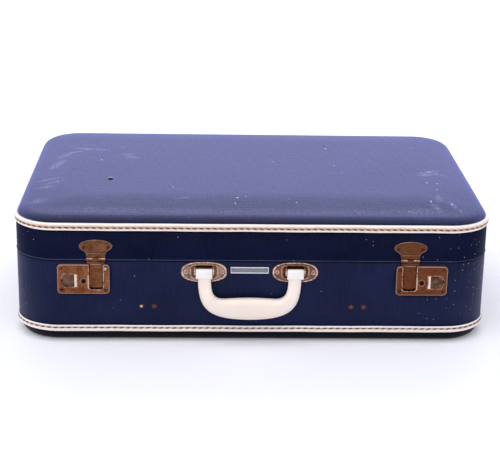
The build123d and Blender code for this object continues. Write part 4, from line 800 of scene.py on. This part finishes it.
# The trim's height above the case's nearer end, from bead to strip, and the place of its seam from the strip's edge
trims = {"runStep": 6.0, "cornerSteps": 20, "strip": 1.4, "beadProud": 2.5, "grooveHalf": 0.95, "grooveDepth": 0.75,
         "edge": 0.6, "sway": 0.12, "stitchPitch": 8.25, "stitchLength": 5.7, "threadWide": 0.9, "threadHigh": 0.7,
         "slant": 0.75,
         "base": {"start": 14.7, "height": 8.2, "bead": 2.3, "groove": 3.2},
         "lid": {"start": 14.0, "height": 9.4, "bead": 2.6, "groove": 3.8}}


# Closed section of the trim, wall side at height 0: flat strip with a rounded edge and a sewing groove, then a round
# bead, and a tongue that goes in over the panel's edge
def trimProfile(cfg, own):
    e, strip, g, w, full = cfg["edge"], cfg["strip"], own["groove"], cfg["grooveHalf"], own["height"]
    bead = arc((cfg["beadProud"] - own["bead"], full - own["bead"]), own["bead"], -50, 90, 14)
    t = np.linspace(0, np.pi, 9)
    dip = np.stack([strip - cfg["grooveDepth"] * np.sin(t), g - w * np.cos(t)], axis=1)
    return np.concatenate([[(-0.05, 0.0)], arc((strip - e, e), e, -90, 0, 4), dip, [(strip, bead[0, 1] - 0.2)], bead,
                           [(-3.05, full - 0.7), (-3.05, full - 2.35), (-0.05, full - 2.35)]])


# Trim: the section carried round the case. It sways up and down by a tenth of a millimetre, as sewn piping does.
def buildTrim(cfg, half):
    own = cfg[half]
    profile = trimProfile(cfg, own)
    outline = caseOutline(cfg["runStep"], cfg["cornerSteps"])
    s = outline[2][:-1, None] / outline[2][-1] * 2 * np.pi
    sway = cfg["sway"] * (np.sin(17 * s) + 0.6 * np.sin(41 * s + 1.7))
    high = own["start"] + own["height"] - profile[None, :, 1]
    verts = roundCase(outline, profile[:, 0], high + sway * (profile[None, :, 0] > -0.2))
    verts, (faces,) = forHalf(half, verts.reshape(-1, 3), [loopFaces(*verts.shape[:2], True)[:, ::-1]])
    meshObject(half + "TrimPiping", half, verts, [faces], half + "Trim", "cream_trim", half + "_trim",
               [skinMap(faces, outline, profile[:, 1] - own["groove"])])


# Every stitch is a thick lens of thread: at t from 0 to 1 along it, its half width is w * (4 t (1 - t)) ** 0.35, it
# rises from the groove's floor and dips at both ends, and it slants across the groove from +slant to -slant.
def buildStitches(cfg, half):
    own = cfg[half]
    outline = caseOutline(6.0, 24)
    total = outline[2][-1]
    count = int(total // cfg["stitchPitch"])
    pitch = total / count
    t, turn = np.linspace(0, 1, 9), np.linspace(0, 2 * np.pi, 7)[:-1]
    walked = (np.arange(count)[:, None] + 0.5 + (t - 0.5) * cfg["stitchLength"] / cfg["stitchPitch"]) * pitch % total
    coreX, coreY = (np.interp(walked, outline[2], np.append(core, core[0])) for core in outline[0].T)
    angle = np.interp(walked, outline[2], np.append(outline[1], outline[1][0] + 2 * np.pi))
    thick = np.clip(4 * t * (1 - t), 0.02, 1) ** 0.35
    rise = cfg["strip"] - 0.35 + 0.25 * np.sin(np.pi * t)
    out = case["corner"] + rise[None, :, None] + (cfg["threadHigh"] * thick)[None, :, None] * np.cos(turn)
    lean = cfg["slant"] * (1 - 2 * t)
    high = own["groove"] + lean[None, :, None] + (cfg["threadWide"] * thick)[None, :, None] * np.sin(turn)
    x = coreX[..., None] + out * np.cos(angle)[..., None]
    y = coreY[..., None] + out * np.sin(angle)[..., None]
    verts = np.stack(np.broadcast_arrays(x, y, own["start"] + own["height"] - high), axis=-1).reshape(-1, 3)
    starts = (np.arange(count) * len(t) * len(turn))[:, None, None]
    faceSets = [(starts + part).reshape(-1, part.shape[1]) for part in tubeFaces(len(t), len(turn))]
    meshObject(half + "Stitches", half, *forHalf(half, verts, faceSets), "thread", "brown_thread",
               half + "_stitching")


for half in ("base", "lid"):
    buildTrim(trims, half)
    buildStitches(trims, half)
print("trims and stitches built")

# Outlines of one half of the handle in mm, from its middle line to the eye: (x, z) of the outer and inner edges
handle = {
    "centre": -4.8, "arm": 57.0, "toWall": 2.4, "gripDeep": 14.6, "armDeep": 7.0, "squareness": 2.7, "stations": 97,
    "sides": 40, "seamAt": 0.80, "seamDeep": 0.7, "seamWide": 0.05, "deepFrom": (86.0, 60.0),
    "outer": [(0, 35.5), (12, 35.9), (24, 37.0), (34.7, 39.2), (44.0, 42.6), (51.6, 47.6), (57.4, 54.4), (61.2, 62.5),
              (63.3, 71.2), (64.3, 80.0), (64.6, 92.6)],
    "inner": [(0, 64.0), (12.2, 63.7), (24.5, 63.0), (31.0, 62.5), (37.2, 62.9), (41.8, 65.0), (45.2, 69.0),
              (47.2, 74.6), (48.1, 81.0), (48.3, 86.5), (48.3, 92.6)],
    "eyeHalf": 10.2, "eyeProud": 6.2, "eyeZ": 97.5, "eyeRound": 3.65, "eyeLow": 88.4, "eyeBevel": 0.45, "pinHole": 1.6,
}


# Smooth line through points (Catmull-Rom, with the first point mirrored at x = 0), cut evenly by its length, and
# mirrored to the other side
def smoothLine(points, count):
    p = np.asarray(points, dtype=float)
    p = np.concatenate([[(-p[1, 0], p[1, 1])], p, [2 * p[-1] - p[-2]]])
    t = np.linspace(0, 1, 24, endpoint=False)[:, None]
    a, b, c, d = (p[k:len(p) - 3 + k][:, None] for k in range(4))
    line = 0.5 * (2 * b + (c - a) * t + (2 * a - 5 * b + 4 * c - d) * t ** 2 + (3 * b - a - 3 * c + d) * t ** 3)
    line = np.concatenate([line.reshape(-1, 2), p[-2:-1]])
    walked = walkedAlong(line)
    at = np.linspace(0, walked[-1], count)
    half = np.stack([np.interp(at, walked, line[:, k]) for k in (0, 1)], axis=1)
    return np.concatenate([half[::-1] * (-1, 1), half[1:]])


# Grip: between the outer and the inner line lies a section that is a superellipse, |a| ** n + |b| ** n = 1, half as
# wide as the lines are apart and as deep as the side profile asks; a fine seam runs along both edges of its front.
# Each arm ends inside a strap end: a box rounded over the pin, bored for it.
def buildHandle(cfg):
    outer, inner = (smoothLine(cfg[key], cfg["stations"] // 2 + 1) for key in ("outer", "inner"))
    middle, reach = (outer + inner) / 2, (outer - inner) / 2
    deep = (cfg["armDeep"] + (cfg["gripDeep"] - cfg["armDeep"]) * smoothStep(middle[:, 1], *cfg["deepFrom"])) / 2
    turn = fullTurn(cfg["sides"])
    across, through = signedPower(np.array([np.cos(turn), np.sin(turn)]), 2 / cfg["squareness"])
    seam = cfg["seamDeep"] * np.exp(-((np.abs(across) - cfg["seamAt"]) / cfg["seamWide"]) ** 2) * (through > 0.2)
    grid = onWall(cfg["centre"] + middle[:, :1] + reach[:, :1] * across,
                  cfg["toWall"] + deep[:, None] * (1 + through) - seam, middle[:, 1:] + reach[:, 1:] * across)
    meshObject("handleGrip", "handle", *joined([tube(grid)]), "ivory", "ivory_plastic", "carrying_handle")
    turn = fullTurn(64)
    below = np.sin(turn) < 0        # nearly square under the pin, round over it
    wide, bevel = cfg["eyeRound"], cfg["eyeBevel"]
    long, power = np.where(below, cfg["eyeZ"] - cfg["eyeLow"], wide), np.where(below, 9.0, 2.0)
    r = (np.abs(np.cos(turn) / wide) ** power + np.abs(np.sin(turn) / long) ** power) ** (-1 / power)
    eyes = []
    for side, _ in bothSides:
        low, high = cfg["centre"] + side * cfg["arm"] + np.array([-1, 1]) * cfg["eyeHalf"]
        rings = [(low, r - bevel), (low + bevel, r), (high - bevel, r), (high, r - bevel)]
        rings += [(at, np.full(64, cfg["pinHole"])) for at in (high, low)]
        grid = [onWall(at, cfg["eyeProud"] + one * np.cos(turn), cfg["eyeZ"] + one * np.sin(turn))
                for at, one in rings]
        eyes.append((np.concatenate(grid), [loopFaces(len(rings), 64, True)]))
    meshObject("handleStrapEnds", "handle", *joined(eyes), "strapEnd", "ivory_plastic")


buildHandle(handle)
print("handle built")

# Sizes of a handle plate; ears are stations away from the strap end: distance past earFrom or earTo, change from
# earProud, and change from earHigh, which is half the length along Z
plates = {"half": (29.0, 13.3), "centreZ": 95.3, "power": 2.55, "sheet": 1.3, "rimProud": 0.55,
          "bossHalf": (17.6, 9.2), "frameProud": 0.35, "recess": 0.7, "rivetX": 22.6, "rings": 44, "turns": 128,
          "earFrom": 10.5, "earTo": 12.6, "footTo": 16.4, "earHigh": 6.4, "earProud": 9.4,
          "earStart": [(0, -0.5, -0.5), (0.15, -0.12, -0.12), (0.5, 0, 0)],
          "earEnd": [(-0.5, 0, 0), (-0.1, -0.2, 0), (0.25, -0.9, 0.1), (0.9, -3.4, 0.3), (1.7, -5.6, 0.6),
                     (2.7, -6.9, 0.9)],
          "rivetLine": [(3.2, 0.0), (3.15, 0.7), (2.8, 1.15), (2.35, 1.35), (1.9, 1.2), (1.5, 0.85),
                        (0.9, 0.8), (0.35, 0.8)]}


# Handle plates: over polar lines of a superellipse the sheet rises to a rolled rim, and to a frame round a recess
# behind the strap end (smooth steps of the distance). On it stand two cheeks for the pin: D-shaped sections that
# start full height beside the strap end and sink to the plate. Round rivets are rivetLine, (radius, height), turned.
def buildHandlePlates(cfg):
    turn = fullTurn(cfg["turns"])
    radii = np.linspace(0.03, 1, cfg["rings"])
    edge = signedPower(np.stack([np.cos(turn), np.sin(turn)], axis=1), 2 / cfg["power"]) * cfg["half"]
    flat = radii[:, None, None] * edge[None]
    r = np.broadcast_to(radii[:, None], flat.shape[:2])
    boss = (np.abs(flat / cfg["bossHalf"]) ** 5).sum(axis=2) ** 0.2
    high = (cfg["sheet"] + cfg["frameProud"] * smoothStep(boss, 0.84, 0.93) * (1 - smoothStep(boss, 0.99, 1.1))
            - cfg["recess"] * (1 - smoothStep(boss, 0.8, 0.9)) - 0.5 * smoothStep(r, 0.965, 1.0)
            + cfg["rimProud"] * smoothStep(r, 0.86, 0.92) * (1 - smoothStep(r, 0.97, 1.0)))
    a, b, proud, long = cfg["earFrom"], cfg["earTo"], cfg["earProud"], cfg["earHigh"]
    ears = np.array([(a + u, proud + v, long + w) for u, v, w in cfg["earStart"]]
                    + [(b + u, proud + v, long + w) for u, v, w in cfg["earEnd"]]
                    + [(cfg["footTo"], cfg["sheet"] + 0.4, long + 1.2)])
    arch = np.linspace(0, np.pi, 21)
    earProud = 0.6 + (ears[:, 1:2] - 0.6) * np.sin(arch) ** 0.45
    earZ = handle["eyeZ"] - 1.0 * (ears[:, :1] > b) + ears[:, 2:3] * signedPower(np.cos(arch), 0.75)
    n, m = len(radii) + 1, len(turn)
    here, after = np.arange(m), (np.arange(m) + 1) % m
    fans = [np.stack([np.full(m, n * m), after, here], axis=1),
            np.stack([np.full(m, n * m + 1), (n - 1) * m + here, (n - 1) * m + after], axis=1)]
    plateParts, rivetParts = [], []
    lathe = np.array(cfg["rivetLine"])
    round24 = fullTurn(24)
    for side, _ in bothSides:
        x, z = handle["centre"] + side * handle["arm"], cfg["centreZ"]
        sheet = onWall(x + flat[..., 0], high, z + flat[..., 1]).reshape(-1, 3)
        poles = [onWall(x, high[0, 0], z), onWall(x, 0.0, z)]
        plateParts.append((np.concatenate([sheet, onWall(x + edge[:, 0], 0.0, z + edge[:, 1]), poles]),
                           tubeFaces(n, m)[:1] + fans))
        for way in (-1, 1):
            plateParts.append(tube(onWall(x + way * ears[:, :1], earProud, earZ)))
            rivetParts.append(tube(onWall(x + way * cfg["rivetX"] + lathe[:, :1] * np.cos(round24),
                                          cfg["sheet"] - 0.5 + lathe[:, 1:], z + lathe[:, :1] * np.sin(round24))))
    meshObject("handlePlatePair", "base", *joined(plateParts), "handlePlate", "aged_bronze", "handle_plates")
    meshObject("handlePlateRivets", "base", *joined(rivetParts), "plateRivet", "aged_bronze",
               "handle_plate_rivets")


buildHandlePlates(plates)


# Nameplate: rounded rectangle with a raised border and a sunk plain field, as rings of one outline shrunk inwards.
# Each ring is four quarter circles about the corners' centres.
def buildNameplate(cfg):
    turn = np.radians(np.concatenate([np.linspace(q * 90, q * 90 + 90, 9) for q in range(4)]))
    way = np.repeat([(1, 1), (-1, 1), (-1, -1), (1, -1)], 9, axis=0)
    top, field = cfg["sheet"], cfg["sheet"] - cfg["sunk"]
    rings = []
    for inset, proud in [(0.0, 0.0), (0.0, top - 0.25), (0.25, top), (cfg["border"] - 0.2, top),
                         (cfg["border"] + 0.15, field), (cfg["half"][1] - 0.4, field + 0.08)]:
        c = max(cfg["corner"] - inset * 0.5, 0.15)
        flat = cfg["centre"] + way * (np.array(cfg["half"]) - inset - c)
        flat += c * np.stack([np.cos(turn), np.sin(turn)], axis=1)
        rings.append(onWall(flat[:, 0], proud, flat[:, 1]))
    meshObject("nameplateBlank", "base", *joined([tube(rings)]), "nameplate", "plate_metal", "nameplate",
               smooth=False)


buildNameplate(nameplate)
print("handle plates and nameplate built")

shoulders = {"x": 196.0, "outline": [(7.2, 109.15), (10.9, 109.15), (10.9, 106.6), (9.9, 105.6), (7.2, 105.6)],
             "proud": (1.9, 3.2), "edge": 0.3}
ridges = {"half": 7.3, "high": 0.35, "z": 105.3, "proud": (2.6, 3.6), "slope": 0.25, "edge": 0.15}


# Shoulders of each hasp: two small wings beside the tongue under the knuckles, a polygon given thickness
def buildShoulders(cfg):
    p = np.array(cfg["outline"])
    small = p.mean(axis=0) + (p - p.mean(axis=0)) * 0.9
    low, high = cfg["proud"]
    for side, name in bothSides:
        parts = [tube([onWall(side * cfg["x"] + way * q[:, 0], h, q[:, 1]) for q, h in
                       ((p, low), (p, high - cfg["edge"]), (small, high))]) for way in (-1, 1)]
        meshObject("haspShoulders_" + name, "hasp_" + name, *joined(parts), "tongue", "tarnished_brass", smooth=False)


# Ridge across each tongue under its knuckles: a bar with sloped ends
def buildRidges(cfg):
    u, v = np.array([(-1, -1), (1, -1), (1, 1), (-1, 1)]).T
    half, (low, high) = cfg["half"], cfg["proud"]
    for side, name in bothSides:
        bar = [onWall(side * shoulders["x"] + u * reach, h, cfg["z"] + v * cfg["high"]) for reach, h in
               ((half, low), (half, high - cfg["edge"]), (half - cfg["slope"], high))]
        meshObject("haspRidge_" + name, "hasp_" + name, *joined([tube(bar)]), "fanRim", "tarnished_brass",
                   smooth=False)


buildShoulders(shoulders)
buildRidges(ridges)

# Outline of a fan plate from its top to its neck, (x, z) from the latch's middle line
fanEdge = {"x": 196.0, "radius": 0.42, "proud": 1.35, "inset": 0.45, "stations": 61,
           "outline": [(0, 137.0), (7.5, 136.4), (14.2, 134.7), (18.8, 132.1), (20.7, 128.9), (19.7, 125.8),
                       (17.2, 123.6), (14.9, 122.1), (13.5, 120.8), (12.6, 119.5), (12.1, 118.2)]}


# Rolled edge of each fan plate: a round section carried along the outline, set in from it by inset
def buildFanRims(cfg):
    line = smoothLine(cfg["outline"], cfg["stations"])
    turn = fullTurn(10)
    size = cfg["radius"] * np.sqrt(np.clip(1 - np.abs(np.linspace(-1, 1, len(line))) ** 24, 0.05, 1))[:, None]
    flat = line[:, None] + lineNormals(line)[:, None] * (size * np.cos(turn) - cfg["inset"])[..., None]
    for side, name in bothSides:
        grid = onWall(side * cfg["x"] + flat[..., 0], cfg["proud"] + size * np.sin(turn), flat[..., 1])
        meshObject("fanPlateRim_" + name, "lid", *joined([tube(grid)]), "fanRim", "tarnished_brass")


# Lens on a face: each layer is (share of the outline, height), and place puts (u, v, height) on the face
def lens(layers, outline, place):
    return tube([place(*(share * outline), high) for share, high in layers])


# Dents where something sharp went through the vinyl: a shallow dark lens on the lid, painted shade for the hole, and
# round its far side a torn edge, a crescent tube whose radius is dentRim * (0.2 + half the sine of the half turn)
def buildDents(cfg):
    turn, section = fullTurn(28), fullTurn(8)
    half = np.linspace(0, np.pi, 15)
    along = np.linspace(0.12 * np.pi, 0.88 * np.pi, 15)[:, None]
    top = case["height"] + 0.05
    holes, edges = [], []
    for x, y, a, b in cfg["dents"]:
        ring = (1 + 0.12 * np.sin(3 * turn + x)) * np.array([a * np.cos(turn), b * np.sin(turn)])
        holes.append(lens([(1.0, -0.6), (1.0, 0.08), (0.75, 0.22), (0.35, 0.26)], ring,
                          lambda u, v, high: np.stack([x + u, y + v, np.full(28, top + high)], axis=1)))
        thick = (cfg["dentRim"] * min(1.0, a / 3) * (0.2 + 0.5 * np.sin(half)))[:, None]
        away = 1 + thick * np.cos(section) / b
        edges.append(tube(np.stack([x + a * away * np.cos(along), y + b * away * np.sin(along),
                                    top + 0.5 * thick * np.sin(section)], axis=2)))
    meshObject("lidDentShades", "lid", *joined(holes), "dent", "board")
    meshObject("lidDentEdges", "lid", *joined(edges), "dentRim", "navy_vinyl")


stains = {"x": (124.0, 140.0), "z": 48.5, "round": (3.5, 3.1), "high": 0.22}


# Thin lens under each strap rivet, front and back, for the rust that has crept out from it
def buildStains(cfg):
    turn = fullTurn(24)
    low, high = 0.05, cfg["high"]
    parts = []
    for x, side, face in [(x, side, face) for x in cfg["x"] for side in (-1, 1) for face in (-1, 1)]:
        uneven = 1 + 0.07 * np.sin(3 * turn + x * side) + 0.05 * np.sin(5 * turn + face)
        ring = uneven * np.array([cfg["round"][0] * np.cos(turn), cfg["round"][1] * np.sin(turn)])
        parts.append(lens([(1.0, -0.4), (1.0, low), (0.85, high), (0.3, high + low)], ring,
                          lambda u, v, h: onWall(side * x + u, h, cfg["z"] + v, face)))
    meshObject("strapRivetStains", "base", *joined(parts), "rust", "aged_bronze")


buildStains(stains)
buildFanRims(fanEdge)
buildDents(vinyl)
print("latch details and dents built")

# Linings: the same rim shell as the panels, laid inside them, as a sheet glued to the board
linings = {"runStep": 16.0, "cornerSteps": 12, "rimSteps": 6, "rows": 18, "wave": 0.12, "inset": 5.6, "thick": 0.7,
           "rim": 10.2, "floorZ": 2.5, "lift": 0.1, "floor": (589, 389), "base": 113.0, "lid": 55.0}
for half in ("base", "lid"):
    shell = rimShell(linings, linings["inset"], linings["thick"], linings["floorZ"] + linings["lift"], linings["rim"],
                     linings[half], half == "lid")
    lining = buildShell(half + "LiningCloth", half, half + "_lining", "lining", "lining_cloth", shell)
print("linings laid")

straps = {"x": 132.0, "wide": 25.0, "thick": 1.2, "topZ": 60.0, "floorZ": 3.5, "reachY": 193.4, "bend": 9.7,
          "edge": 0.35}


# Packing straps: webbing with rounded edges, laid along a path down the front wall, round the rim, along the floor
# and up the back wall. Map: u is the length along the strap and v the place across it, with an edge line.
def buildStraps(cfg):
    r = cfg["bend"]
    corner = arc((-cfg["reachY"] + r, cfg["floorZ"] + r), r, 180, 270, 8)
    ends = cfg["reachY"] - r
    floorLine = np.stack([np.linspace(-ends, ends, 42)[1:-1], np.full(40, cfg["floorZ"])], axis=1)
    rise = np.stack([np.full(7, -cfg["reachY"]), np.linspace(cfg["topZ"], cfg["floorZ"] + r, 8)[:-1]], axis=1)
    line = np.concatenate([rise, corner, floorLine, corner[::-1] * (-1, 1), rise[::-1] * (-1, 1)])
    walked = walkedAlong(line)
    h, t, e = cfg["wide"] / 2, cfg["thick"], cfg["edge"]
    section = np.array([(-h + e, 0), (h - e, 0), (h, e), (h, t - e), (h - e, t), (-h + e, t), (-h, t - e), (-h, e)])
    place = line[:, None] + lineNormals(line)[:, None] * section[None, :, 1:]
    n, m = len(line), len(section)
    sets, verts = [], []
    for number, (side, _) in enumerate(bothSides):
        part = np.broadcast_arrays(side * cfg["x"] + section[None, :, 0], place[..., 0], place[..., 1])
        verts.append(np.stack(part, axis=2).reshape(-1, 3))
        sets += [number * n * m + part[:, ::-1] for part in tubeFaces(n, m)]
    uv = [np.stack([walked[(q % (n * m)) // m], section[q % m, 0] + h], axis=-1) * mm for q in sets]
    made = meshObject("packingStrapWebbing", "base", np.concatenate(verts), sets, "webbing", "webbing",
                      "packing_straps", uv, smooth=False)


buildStraps(straps)
print("packing straps laid")
